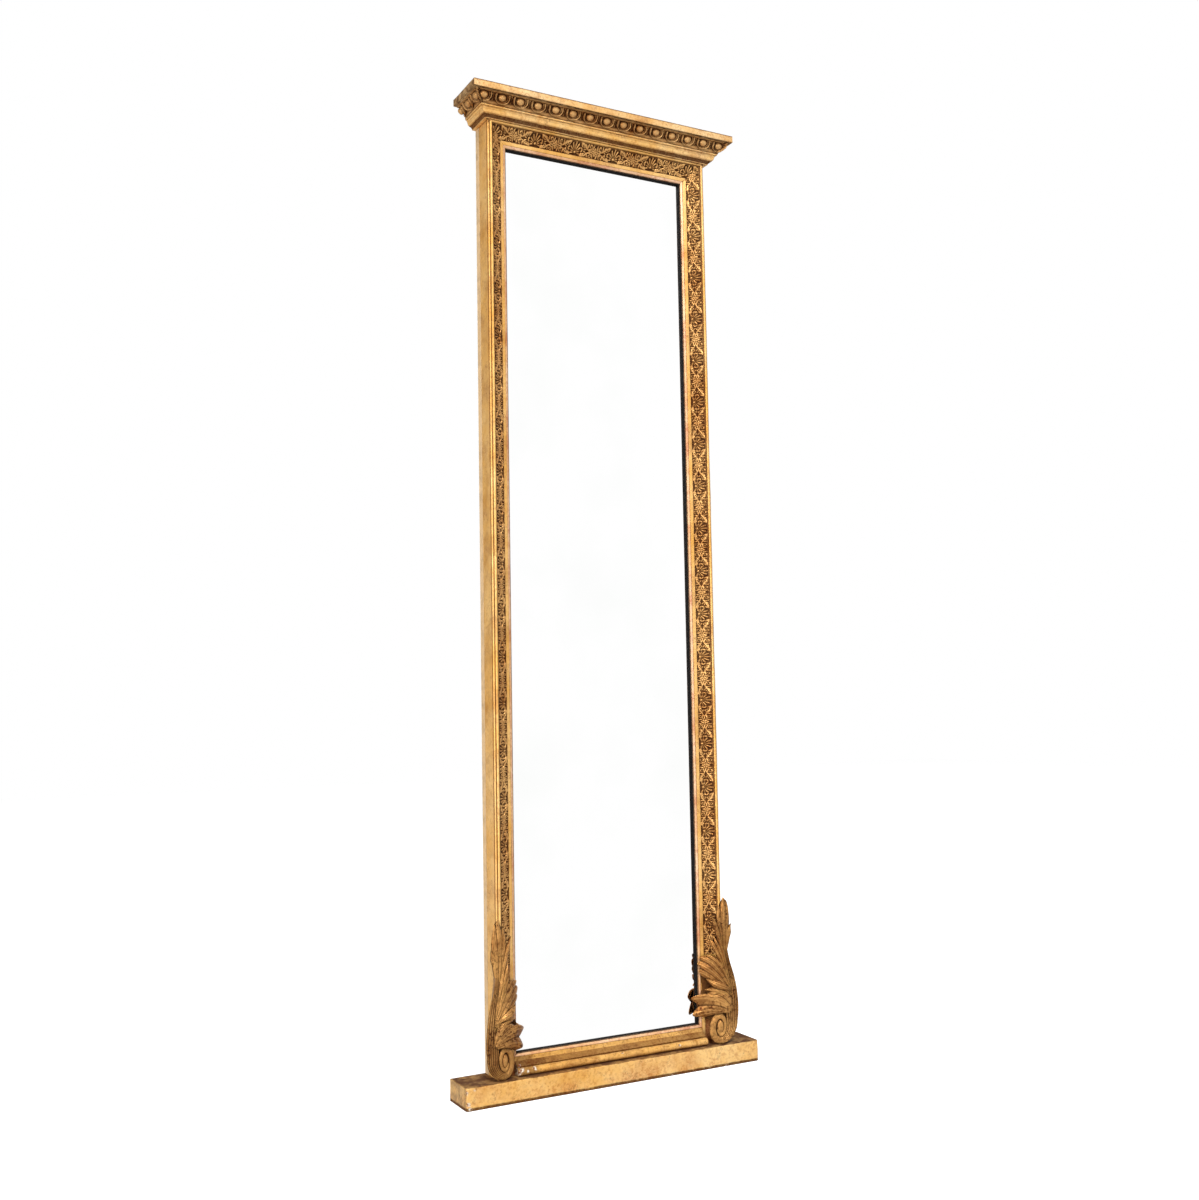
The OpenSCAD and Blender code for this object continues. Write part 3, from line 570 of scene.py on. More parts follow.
@dataclass(frozen=True)
class Gilding:
    """Water gilding: gold leaf burnished over red clay bole and white gesso on carved pine.

    The leaf is thin and soft, so it rubs through to the bole on the edges, dirt and painted shade darken the
    hollows, the crests are paler with rubbing and a painted highlight, and the colour drifts between warm and pale
    where the leaf was laid double or has been toned.
    """

    name: str
    slot: str
    leaf: str
    pale_leaf: str
    bole: str
    grime_and_shade: str
    wear: float
    dirt_and_shade: float
    metallic: float
    roughness: float = 0.42
    bare: str = "#60402A"
    gesso: str = "#E9DDC8"
    stain: float = 0.35
    toner: str = "#A0652F"
    crevice_mm: float = 7.0
    edge_mm: float = 1.6
    stipple: float = 0.3
    stipple_mm: float = 5.0
    crest_rub_and_highlight: float = 0.0
    fleck: float = 0.3
    grimy_roughness: float = 0.75
    bump_mm: float = 0.35
    specular: float = 0.06

    def material(self) -> bpy.types.Material:
        """Builds the finish: leaf, toning, wear down to the bole, dirt and painted shade, painted highlights on the
        crests, chips and bare wood.

        Returns:
            The material.
        """
        paint = Paint(bpy.data.materials.new(self.name))
        add = paint.add
        relief, chip, bare = (add(Node.ATTRIBUTE, attribute_name=label) for label in ("relief", "chip", "bare"))
        p = paint.patterns({
            "drift": (140, 3), "cloud": (22, 4), "speck": (3.2, 3), "stain": (48, 5), "grain": (2.4, 3),
            "stipple": (self.stipple_mm, 4), "field": (30, 3), "touch": (6, 3), "rub": (9, 4), "fleck": (1.6, 2),
            "broken": (4.5, 3), "bare": (15, 4),
        })
        drift = add(Node.RANGE, p["drift"], 0.38, 0.62, 0, 0.6)
        tone = add(Node.PLUS, drift, add(Node.RANGE, p["cloud"], 0.35, 0.7, 0, 0.4))
        # brown toning has gathered in drifts and in fine stipple, and the highest points are paler, rubbed bright
        # by handling and with a painted highlight
        drifts = paint.meet((p["stain"], 0.48, 0.68), (p["grain"], 0.3, 0.6, 0.35, 1))
        dots = paint.meet((p["stipple"], 0.5, 0.6), (p["field"], 0.35, 0.6, 0.25, 1))
        high = paint.meet((relief, 0.72, 0.98), (p["touch"], 0.35, 0.6, 0.3, 1))
        # the leaf is rubbed where clouds and specks meet, and along the edges
        rubbed = paint.meet((p["cloud"], 0.56, 0.74), (p["speck"], 0.42, 0.6))
        edges = add(Node.TIMES, paint.edge(self.edge_mm), add(Node.RANGE, p["rub"], 0.4, 0.62))
        worn = add(Node.TIMES, add(Node.GREATER, rubbed, edges), self.wear)
        # dirt and painted shade lie in crevices and wherever the relief is low
        low = add(Node.GREATER, add(Node.RANGE, relief, 0.55, 0.05), paint.crevice(self.crevice_mm))
        dirt_and_shade = add(Node.TIMES, low, add(Node.RANGE, p["speck"], 0.2, 0.7, 0.75, 1.0))
        flecks = paint.meet((p["fleck"], 0.68, 0.74), (p["cloud"], 0.45, 0.65))
        broken = add(Node.OVER, add(Node.RANGE, p["broken"], 0.44, 0.56), self.bole, self.gesso)
        wood = paint.meet((bare,), (p["bare"], 0.4, 0.58, 0.4, 1))
        colour = paint.layers(add(Node.OVER, tone, self.leaf, self.pale_leaf), (
            (drifts, self.stain, self.toner), (dots, self.stipple, self.toner),
            (high, self.crest_rub_and_highlight, self.pale_leaf), (worn, 1.0, self.bole), (dirt_and_shade, self.dirt_and_shade, self.grime_and_shade),
            (flecks, self.fleck, self.grime_and_shade), (chip, 1.0, broken), (wood, 1.0, self.bare),
        ))
        rough = add(Node.RANGE, add(Node.GREATER, worn, dirt_and_shade), 0, 1, self.roughness, self.grimy_roughness)
        height = add(Node.PLUS, add(Node.TIMES, p["cloud"], 0.6), add(Node.TIMES, p["speck"], 0.3))
        metal = add(Node.RANGE, dirt_and_shade, 0, 0.7, self.metallic, 0.0)
        return paint.finish(colour, rough, height, self.bump_mm, metal, self.specular)


@dataclass(frozen=True)
class Timber:
    """Plain softwood, planed, darkened by age and dust and with painted shade in crevices: grain runs along one
    axis.
    """

    name: str
    early: str
    late: str
    dust: str
    along: tuple[float, float, float] = (1, 1, 0.04)
    gilt_side: Optional[str] = None
    crevice_shade: str = "#241810"
    bump_mm: float = 0.3

    def material(self) -> bpy.types.Material:
        """Builds the finish, with a wash of gilding on the sides beyond the frame's where it has one.

        Returns:
            The material.
        """
        paint = Paint(bpy.data.materials.new(self.name))
        add = paint.add
        wood = paint.patterns({"grain": (4.5, 4), "fibre": (0.9, 3)}, self.along)
        even = paint.patterns({"cloud": (120, 3), "wash": (18, 4)})
        colour = add(Node.OVER, add(Node.RANGE, wood["grain"], 0.42, 0.62), self.early, self.late)
        colour = paint.layers(colour, (
            (add(Node.RANGE, wood["fibre"], 0.5, 0.75), 0.35, self.late),
            (add(Node.RANGE, even["cloud"], 0.4, 0.7, 0.1, 0.6), 1.0, self.dust),
            # crevices are darkened with painted shade
            (paint.crevice(8), 0.7, self.crevice_shade),
        ))
        if self.gilt_side:
            side = add(Node.UNSIGNED, add(Node.ACROSS, add(Node.PLACE)))
            outer = add(Node.RANGE, side, SIZES.half_w / 1000 - 0.0006, SIZES.half_w / 1000 - 0.0002)
            wash = add(Node.OVER, add(Node.RANGE, even["wash"], 0.45, 0.75, 0, 0.45), self.gilt_side, self.dust)
            colour = add(Node.OVER, outer, colour, wash)
        height = add(Node.PLUS, add(Node.TIMES, wood["grain"], 0.5), add(Node.TIMES, wood["fibre"], 0.5))
        rough = add(Node.RANGE, wood["grain"], 0.3, 0.7, 0.62, 0.8)
        return paint.finish(colour, rough, height, self.bump_mm, 0.0)


@dataclass(frozen=True)
class Mottled:
    """A surface of two tones in soft patches, as stained wood, silvering and dulled metal have."""

    name: str
    ground: str
    patch: str
    patch_mm: tuple[float, float]
    spread: tuple[float, ...]
    rough: tuple[float, float]
    grit_mm: tuple[float, float]
    bump_mm: float
    metallic: float
    specular: Optional[float] = None
    along: tuple[float, float, float] = (1, 1, 1)

    def material(self) -> bpy.types.Material:
        """Builds the finish.

        Returns:
            The material.
        """
        paint = Paint(bpy.data.materials.new(self.name))
        p = paint.patterns({"patch": self.patch_mm, "grit": self.grit_mm}, self.along)
        colour = paint.add(Node.OVER, paint.add(Node.RANGE, p["patch"], *self.spread), self.ground, self.patch)
        rough = paint.add(Node.RANGE, p["patch"], 0.3, 0.7, *self.rough)
        return paint.finish(colour, rough, p["grit"], self.bump_mm, self.metallic, self.specular)


class Finish(Enum):
    """Every finish of the mirror. A gilding's colours are its leaf, the paler leaf, bole, and grime and painted
    shade.
    """

    # burnished leaf: a warm gold line on every edge, with red-brown dirt and painted shade between the beads
    FACE_GILT = Gilding(
        "water_gilding_face", "water_gilt", "#E0A550", "#F6CB86", "#8F4322", "#601802", 0.7, 0.92, 0.35,
        stain=0.55, crevice_mm=3.0
    )
    # leaf rubbed thin by the cleaning of the glass: pinkish where the bole glows through
    LIP_GILT = Gilding(
        "water_gilding_lip", "worn_gilt", "#DDA873", "#F4CFAC", "#A8552E", "#1E110A", 0.9, 0.95, 0.3, stain=0.85,
        toner="#B8693F", stipple=0.45
    )
    # a broad plain face: pale gold with scuffs, and a painted contact shadow along the floor
    PLINTH_GILT = Gilding(
        "water_gilding_plinth", "water_gilt", "#E9AF5A", "#FAD290", "#7E3F1A", "#421803", 0.9, 0.96, 0.3,
        stain=0.6, stipple=0.45, toner="#B5642C"
    )
    # the cleanest leaf: a bright band over a cove darkened with painted shade
    BED_GILT = Gilding(
        "water_gilding_bed", "water_gilt", "#EDB460", "#FDD89A", "#7E3F1A", "#4A1A02", 0.9, 0.96, 0.3, stain=0.5,
        stipple=0.4, toner="#B5642C", crevice_mm=2.5
    )
    # toned leaf low on the frame: a duller and browner gold
    RAIL_GILT = Gilding(
        "water_gilding_rail", "water_gilt", "#D8A050", "#EDBE76", "#7A3C1A", "#4A1E06", 0.9, 0.92, 0.35,
        stain=0.8, toner="#84481C", stipple=0.6
    )
    # leaf that has faced the dust: matt and blotched
    CAP_GILT = Gilding(
        "water_gilding_cap", "water_gilt", "#D8A765", "#EFD1A0", "#84461F", "#54280C", 0.9, 0.94, 0.2,
        roughness=0.55, bare="#5A3A20", stain=0.8, stipple=0.45
    )
    # gilt composition: crests bright with rubbing and painted highlight, over a ground darkened by dirt and painted
    # shade
    ORNAMENT = Gilding(
        "composition_gilding", "ornament_gilt", "#A0642C", "#E4B472", "#7A3D18", "#2C0A00", 0.4, 1.0, 0.45, 0.36,
        crevice_mm=4, stipple_mm=7, crest_rub_and_highlight=0.75
    )
    # the same on the eggs, a little warmer
    EGG = Gilding(
        "egg_moulding_gilding", "ornament_gilt", "#A0662F", "#E8BC7E", "#6E3F22", "#360C00", 0.4, 0.98, 0.4, 0.40,
        crevice_mm=3.5, stipple=0.5, stipple_mm=7, crest_rub_and_highlight=0.7
    )
    # gilding toned to bronze: brown wood colour with gold on the ridges of the leaves; its bole colour is a pale
    # gold, so the worn edges and crests read as rubbed gold and painted highlight
    CARVED = Gilding(
        "carved_bronze_gilding", "bronze_gilt", "#8A5526", "#D09C5C", "#D8A65C", "#2C0E03", 0.7, 0.98, 0.45, 0.36,
        stain=0.6, toner="#502810", stipple=1.0, stipple_mm=4.5, crest_rub_and_highlight=0.85
    )
    # softwood: clean where it was always shut in, brown on the upright and crosswise parts of the back frame
    PINE = Timber("planed_pine", "#C9A36B", "#A67B47", "#8F7350")
    OLD_PINE = Timber("aged_pine_upright", "#A27849", "#6C4A2E", "#78644C", gilt_side="#DDBA8C")
    CROSS_PINE = Timber("aged_pine_crosswise", "#A27849", "#6C4A2E", "#78644C", (0.04, 1, 1), "#DDBA8C")
    # sawn boards of two logs: a paler one above and below, and an amber one between
    BOARD = Timber("sawn_pine_board", "#BC9261", "#85603C", "#8C7860", (0.04, 1, 1))
    AMBER_BOARD = Timber("sawn_pine_board_amber", "#AE7F4A", "#734B2A", "#7E684E", (0.04, 1, 1))
    # pine stained black and rubbed: a dull near-black, so that the glass shows no wood
    BLACK = Mottled(
        "ebonised_pine", "#0B0908", "#1C1512", (5, 3), (0.5, 0.8, 0, 0.5), (0.75, 0.9), (5, 3), 0.1, 0.0, 0.1,
        (1, 1, 0.1)
    )
    # plate glass silvered on the back: a clean bright reflection, with a trace of the old plate's waviness
    GLASS = Mottled(
        "silvered_plate_glass", "#FFFFFF", "#FBFCFB", (260, 3), (0.45, 0.75), (0.015, 0.03), (700, 1), 0.2, 1.0
    )
    # forged iron browned by rust, and old brass: dull metal with a darker skin in patches
    IRON = Mottled("forged_iron", "#5A5450", "#3A2A20", (5, 4), (0.4, 0.6), (0.5, 0.8), (1.2, 3), 0.1, 0.85)
    BRASS = Mottled("old_brass", "#B08A4A", "#6E5430", (5, 4), (0.4, 0.6), (0.4, 0.8), (1.2, 3), 0.1, 0.85)


@cache
def material(finish: Finish) -> bpy.types.Material:
    """The material of a finish, built when it is first asked for."""
    return finish.value.material()


# ---------------------------------------------------------------- meshes


@dataclass
class Shell:
    """Rings of points that make one closed skin, with the numbers that its finish reads.

    There is a number of each kind for every point, or one row of them for all rings.
    """

    rings: Array
    relief: Array
    chip: Optional[Array] = None
    bare: Optional[Array] = None

    def on(self, side: Side, made_for: Side = Side.LEFT) -> "Shell":
        """The skin as it is on the side that it was made for, and mirrored about the middle on the other."""
        if side is made_for:
            return self
        return replace(self, rings=self.rings * np.array([-1.0, 1.0, 1.0]))

    def values(self, label: str) -> Array:
        """The numbers of one kind in a row, zero at each point where the skin has none."""
        value = getattr(self, label)
        return np.broadcast_to(0.0 if value is None else value, self.rings.shape[:2]).ravel()


def ring_faces(rings: int, around: int, first: int) -> tuple[Array, Array]:
    """Faces of one skin: a quad between each pair of neighbours on neighbouring rings, and a cap on each end.

    Args:
        rings: number of rings.
        around: points in a ring.
        first: index of the first point.

    Returns:
        The corner indices of all faces in a row, and how many corners each face has.
    """
    i, j = np.meshgrid(np.arange(rings - 1), np.arange(around), indexing="ij")
    k = (j + 1) % around
    quads = np.stack([i * around + j, i * around + k, (i + 1) * around + k, (i + 1) * around + j], axis=-1)
    start, end = np.arange(around)[::-1], np.arange(around) + (rings - 1) * around
    corners = np.concatenate([quads.ravel(), start, end]) + first
    return corners, np.concatenate([np.full(quads.shape[0] * quads.shape[1], 4), [around, around]])


def build(name: str, shells: Sequence[Shell], finish: Finish, node: str, crease: float = 38.0) -> None:
    """Makes a piece from closed skins, with its normals turned outwards, and hides the CAD node that it stands for.

    Args:
        name: the piece's name.
        shells: the skins, with points in metres in the row frame.
        finish: its finish.
        node: the CAD node that it stands for.
        crease: edges that turn more than this, in degrees, are drawn sharp.
    """
    points = np.concatenate([s.rings.reshape(-1, 3) for s in shells])
    # the waviness of a skin stays inside the box of the solids
    points = np.clip(points, CAD_BOX[0], CAD_BOX[1])
    firsts = np.cumsum([0] + [s.rings[..., 0].size for s in shells])
    rows = [ring_faces(*s.rings.shape[:2], first) for s, first in zip(shells, firsts)]
    corners, counts = (np.concatenate(row).astype(np.int32) for row in zip(*rows))
    mesh = bpy.data.meshes.new(name)
    mesh.vertices.add(len(points))
    mesh.vertices.foreach_set("co", points.astype(np.float32).ravel())
    mesh.loops.add(len(corners))
    mesh.loops.foreach_set("vertex_index", corners)
    mesh.polygons.add(len(counts))
    mesh.polygons.foreach_set("loop_start", np.cumsum(counts, dtype=np.int32) - counts)
    mesh.update(calc_edges=True)
    for label in ("relief", "chip", "bare"):
        if any(getattr(s, label) is not None for s in shells):
            values = np.concatenate([s.values(label) for s in shells]).astype(np.float32)
            mesh.attributes.new(label, "FLOAT", "POINT").data.foreach_set("value", values)
    shape = bmesh.new()
    shape.from_mesh(mesh)
    bmesh.ops.recalc_face_normals(shape, faces=shape.faces)
    shape.to_mesh(mesh)
    shape.free()
    mesh.polygons.foreach_set("use_smooth", np.ones(len(mesh.polygons), bool))
    mesh.set_sharp_from_angle(angle=math.radians(crease))
    mesh.materials.append(material(finish))
    piece = bpy.data.objects.new(name, mesh)
    bpy.context.scene.collection.objects.link(piece)
    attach(piece, "root")
    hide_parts(node)
    log.info("%s: %d faces, for %s", name, len(mesh.polygons), node)


# ---------------------------------------------------------------- relief patterns


@dataclass(frozen=True)
class HeightTile:
    """A height field from 0 to 1 over one repeat of an ornament, read by bilinear interpolation.

    The first axis runs along the ornament over its pitch, and the second across it from 0 to 1.
    """

    heights: Array
    pitch: float

    def read(self, along: Array, across: Array) -> Array:
        """The height at each place.

        Args:
            along: distance along the ornament in mm, from the middle of a repeat.
            across: place across it, from 0 to 1.

        Returns:
            The heights.
        """
        rows, columns = self.heights.shape
        a = np.mod(along / self.pitch + 0.5, 1.0) * rows
        b = np.clip(across, 0, 1) * (columns - 1)
        i, j = np.floor(a).astype(int) % rows, np.minimum(np.floor(b).astype(int), columns - 2)
        fa, fb = a - np.floor(a), b - j
        k = (i + 1) % rows
        h = self.heights
        return (h[i, j] * (1 - fb) + h[i, j + 1] * fb) * (1 - fa) + (h[k, j] * (1 - fb) + h[k, j + 1] * fb) * fa


def stroke(grid: Array, path: Array, width: Array, sharp: float = 2.0) -> Array:
    """The height of a carved line: one minus the distance to the path over its half width, to a power.

    Args:
        grid: places, (..., 2), in mm.
        path: points along the line, (n, 2), in mm.
        width: half width at each of its points, in mm.
        sharp: how round the line's top is; 2 is a half-round.

    Returns:
        The height from 0 to 1 at each place.
    """
    apart = np.linalg.norm(grid[..., None, :] - path, axis=-1) / width
    nearest = apart.min(axis=-1)
    return np.sqrt(np.clip(1 - nearest**sharp, 0, 1))


def scroll_path(centre: tuple[float, float], start_r: float, end_r: float, start: float, turn: float) -> Array:
    """A spiral: the radius goes from one value to another as the angle turns.

    Args:
        centre: its centre in mm.
        start_r: radius at its start.
        end_r: radius at its end.
        start: first angle in degrees.
        turn: how far it turns in degrees.

    Returns:
        Forty points along it.
    """
    t = np.linspace(0, 1, 40)
    angle = np.radians(start + turn * t)
    radius = start_r + (end_r - start_r) * t
    return np.stack([centre[0] + radius * np.cos(angle), centre[1] + radius * np.sin(angle)], axis=1)


def composition_tile(pitch: float, width: float, cell: float = 0.4) -> HeightTile:
    """One repeat of the pressed ornament: a flower of slender petals, and crossed leaf scrolls between flowers.

    Each petal is a stroke that swells from the flower's root to its tip. The scrolls are spirals, each with leaves
    along it, drawn as strokes and joined by their greatest height over a low ground.

    Args:
        pitch: length of a repeat in mm.
        width: width of the band in mm.
        cell: size of a cell in mm.

    Returns:
        The tile.
    """
    along = np.arange(-pitch / 2, pitch / 2, cell)
    across = np.linspace(-width / 2, width / 2, int(width / cell))
    x, y = np.meshgrid(along, across, indexing="ij")
    grid = np.stack([x, y], axis=-1)
    half, t = width / 2, np.linspace(0, 1, 40)
    strokes = []
    # the flower's root is on the inner side and its nine petals open outwards
    root = np.array([0.0, -half * 0.42])
    for turn in np.linspace(-104, 104, 9):
        way = np.array([math.sin(math.radians(turn)), math.cos(math.radians(turn))])
        reach = 11.4 + 3.2 * math.cos(math.radians(turn)) ** 2
        petal = root + way * (3.0 + (reach - 3.0) * t[:, None])
        swell = 0.4 + 1.25 * np.sin(np.pi * np.clip(t, 0, 0.86)) ** 0.5 * t**0.6
        strokes.append(0.9 * stroke(grid, petal, swell))
    strokes.append(stroke(grid, root[None], np.array([2.5])))
    for side in (-1, 1):
        foot = scroll_path((side * 13.6, -half * 0.66), 3.0, 0.9, 90 - side * 60, side * -430)
        strokes.append(0.95 * stroke(grid, foot, np.full(40, 1.0)))
        for lift in (-1, 1):
            # crossed stems between flowers, a scroll on each, and a smaller scroll towards the crossing
            points = [(side * o, lift * h) for o, h in ((12, 9.9), (19, 10.8), (31, -3.6), (pitch / 2, -1))]
            strokes.append(stroke(grid, bezier(points, t), 1.45 - 0.5 * t))
            big = scroll_path((side * 19.4, lift * 5.9), 4.4, 0.9, -lift * 90, side * lift * 430)
            small = scroll_path((side * 31.8, lift * 7.1), 3.4, 0.8, -lift * 60, side * lift * 400)
            strokes.append(stroke(grid, big, 1.15 - 0.3 * t))
            strokes.append(stroke(grid, small, 1.05 - 0.3 * t))
            leaves = (
                ((25, 1.6), (26.8, 10.6)), ((28, 2.2), (36.5, 4.0)), ((14.8, 4.5), (11.6, 10.9)),
                ((37, 1.6), (38.6, 10.2)), ((39.5, 0.5), (42.2, 6.6)), ((15.5, 0.2), (12.2, 3.6)),
            )
            for foot_at, tip in leaves:
                ends = np.array([[side * foot_at[0], lift * foot_at[1]], [side * tip[0], lift * tip[1]]])
                line = ends[0] + (ends[1] - ends[0]) * t[:, None]
                swell = 0.3 + 1.25 * np.sin(np.pi * np.clip(t * 0.92 + 0.04, 0, 1))
                strokes.append(0.92 * stroke(grid, line, swell))
    for end in (-pitch / 2, pitch / 2):
        boss = stroke(grid, np.array([[end, 0.0]]), np.array([2.6]))
        strokes.append(boss * np.clip(0.8 + 0.4 * np.cos(6 * np.arctan2(y, x - end)), 0, 1))
    # two deep hollows beside the flower's root
    hollow = np.exp(-(((np.abs(x) - 10.4) / 2.4) ** 4) - ((y + half * 0.36) / 2.4) ** 4)
    strokes = [height * (1 - 0.95 * hollow) for height in strokes]
    ground = (0.03 + 0.03 * np.sin(x * 2.1) * np.sin(y * 2.3)) * (1 - 0.9 * hollow)
    edge_bead = np.clip(1 - np.abs(np.abs(y) - half + 0.6) / 0.6, 0, 1) * 0.4
    return HeightTile(np.maximum.reduce(strokes + [ground, edge_bead]), pitch)


def egg_tile(pitch: float, rise: float, cell: float = 0.4) -> HeightTile:
    """One repeat of egg and dart over the face of the quarter round.

    The egg is a half ellipsoid, round it run two raised shells that stay open at the top, and a dart with a
    raised rib stands between two eggs.

    Args:
        pitch: distance from egg to egg in mm.
        rise: length of the quarter round's face, from its foot to its top, in mm.
        cell: size of a cell in mm.

    Returns:
        The tile.
    """
    along = np.arange(-pitch / 2, pitch / 2, cell)
    across = np.linspace(0, rise, int(rise / cell))
    x, y = np.meshgrid(along, across, indexing="ij")
    cy = rise * 0.6

    def oval(half: float, down: float, up: float) -> Array:
        """Distance from the egg's middle, one on an oval with a different reach below and above it."""
        return np.hypot(x / half, (y - cy) / np.where(y < cy, down, up))

    def ring(half: float, down: float, thick: float) -> Array:
        """A raised shell about the egg, open at the top."""
        return np.sqrt(np.clip(1 - ((oval(half, down, 26.0) - 1) * half / thick) ** 2, 0, 1))

    egg = np.sqrt(np.clip(1 - oval(8.2, 9.8, 8.8) ** 2, 0, 1))
    rings = np.maximum(0.58 * ring(10.8, 11.9, 0.85), ring(13.5, 13.8, 1.15))
    rings *= np.clip((rise * 0.97 - y) / 2.0, 0, 1)
    off = np.abs(np.abs(x) - pitch / 2)
    dart_half = np.interp(y / rise, [0.0, 0.12, 0.45, 0.75, 0.9, 1.0], [0.3, 1.2, 0.5, 0.8, 2.0, 1.5])
    dart = np.sqrt(np.clip(1 - (off / dart_half) ** 2, 0, 1)) * 0.5
    top_band = np.clip((y - rise * 0.93) / 0.8, 0, 1)
    foot_band = np.clip((rise * 0.05 - y) / 0.5, 0, 1) * 0.9
    height = np.maximum.reduce([egg, rings, dart, top_band, foot_band, np.full_like(x, 0.04)])
    return HeightTile(height, pitch)


# ---------------------------------------------------------------- frame mouldings


def chips_at(points: Array, places: Sequence[Spot], seed: int) -> Array:
    """Where gesso has broken off: one inside each ragged spot, falling to zero at its rim.

    Args:
        points: points in mm in the row frame.
        places: x, depth, z and radius of each spot, in mm.
        seed: seed of the ragged rim.

    Returns:
        A value from 0 to 1 at each point.
    """
    ragged = 0.42 * ripple(points, 7.0, seed)
    found = np.zeros(points.shape[:-1])
    for x, depth, z, radius in places:
        centre = np.array([x, SIZES.back_y - depth, z])
        inside = 1 - np.linalg.norm(points - centre, axis=-1) / radius + ragged
        found = np.maximum(found, np.clip(4 * inside, 0, 1))
    return found


def hand_made(points: Array, long_wave: float, short_wave: float, seed: int) -> Array:
    """Unevenness that hand tools leave, from about -1 to 1: a long ripple, with a shorter and fainter one on it."""
    return 0.7 * ripple(points, long_wave, seed) + 0.3 * ripple(points, short_wave, seed + 1)


def weathered(rings: Array, swell: float, seed: int, relief: Array, places: Sequence[Spot] = ()) -> Shell:
    """A run of moulding made uneven by hand and age: moved along its normals by two ripples, and sunk at chips.

    Args:
        rings: rings of points in metres.
        swell: height of the unevenness in mm.
        seed: seed of the ripples.
        relief: the relief at each point.
        places: chipped spots.

    Returns:
        The skin, with its chips marked.
    """
    mm = rings * 1000
    normal = grid_normals(mm)
    chip = chips_at(mm, places, seed + 2)
    move = swell * hand_made(mm, 95, 21, seed) - 0.5 * swell - 0.5 * chip
    return Shell((mm + normal * move[..., None]) / 1000, relief, chip)


def sunk(loop: Array, spots: Sequence[tuple[float, float]], reach: float) -> Array:
    """Relief of a swept section: zero at the bottom of its grooves, rising to one at a distance from them.

    Args:
        loop: the section, (n, 2).
        spots: the bottoms of the grooves, in the section's own plane.
        reach: the distance in mm.

    Returns:
        The relief of each point of a ring.
    """
    away = np.linalg.norm(loop[:, None] - np.asarray(spots, float)[None], axis=-1).min(axis=1)
    return np.clip(away / reach, 0, 1)


def along_stile(loop: Array, low: float | Array, stations: int) -> Array:
    """A section run up the left stile, and cut at 45 degrees where it meets the top rail.

    Args:
        loop: the section's inset and depth, (n, 2).
        low: height of its lower end, or of each point there.
        stations: number of rings.

    Returns:
        The rings in metres.
    """
    t = np.linspace(0, 1, stations)[:, None]
    z = low + (SIZES.frame_top - loop[:, 0] - low) * t
    return place(-SIZES.half_w + loop[:, 0], loop[:, 1], z)


def run_across(half: Array, depth: Array, z: Array, stations: int) -> Array:
    """A section run from left to right, each of its points as far to either side as half says."""
    return place(half * np.linspace(-1, 1, stations)[:, None], depth, z)


def along_top_rail(loop: Array, stations: int) -> Array:
    """A section of insets and depths, run along the top rail between its two mitres."""
    return run_across(SIZES.half_w - loop[:, 0], loop[:, 1], SIZES.frame_top - loop[:, 0], stations)


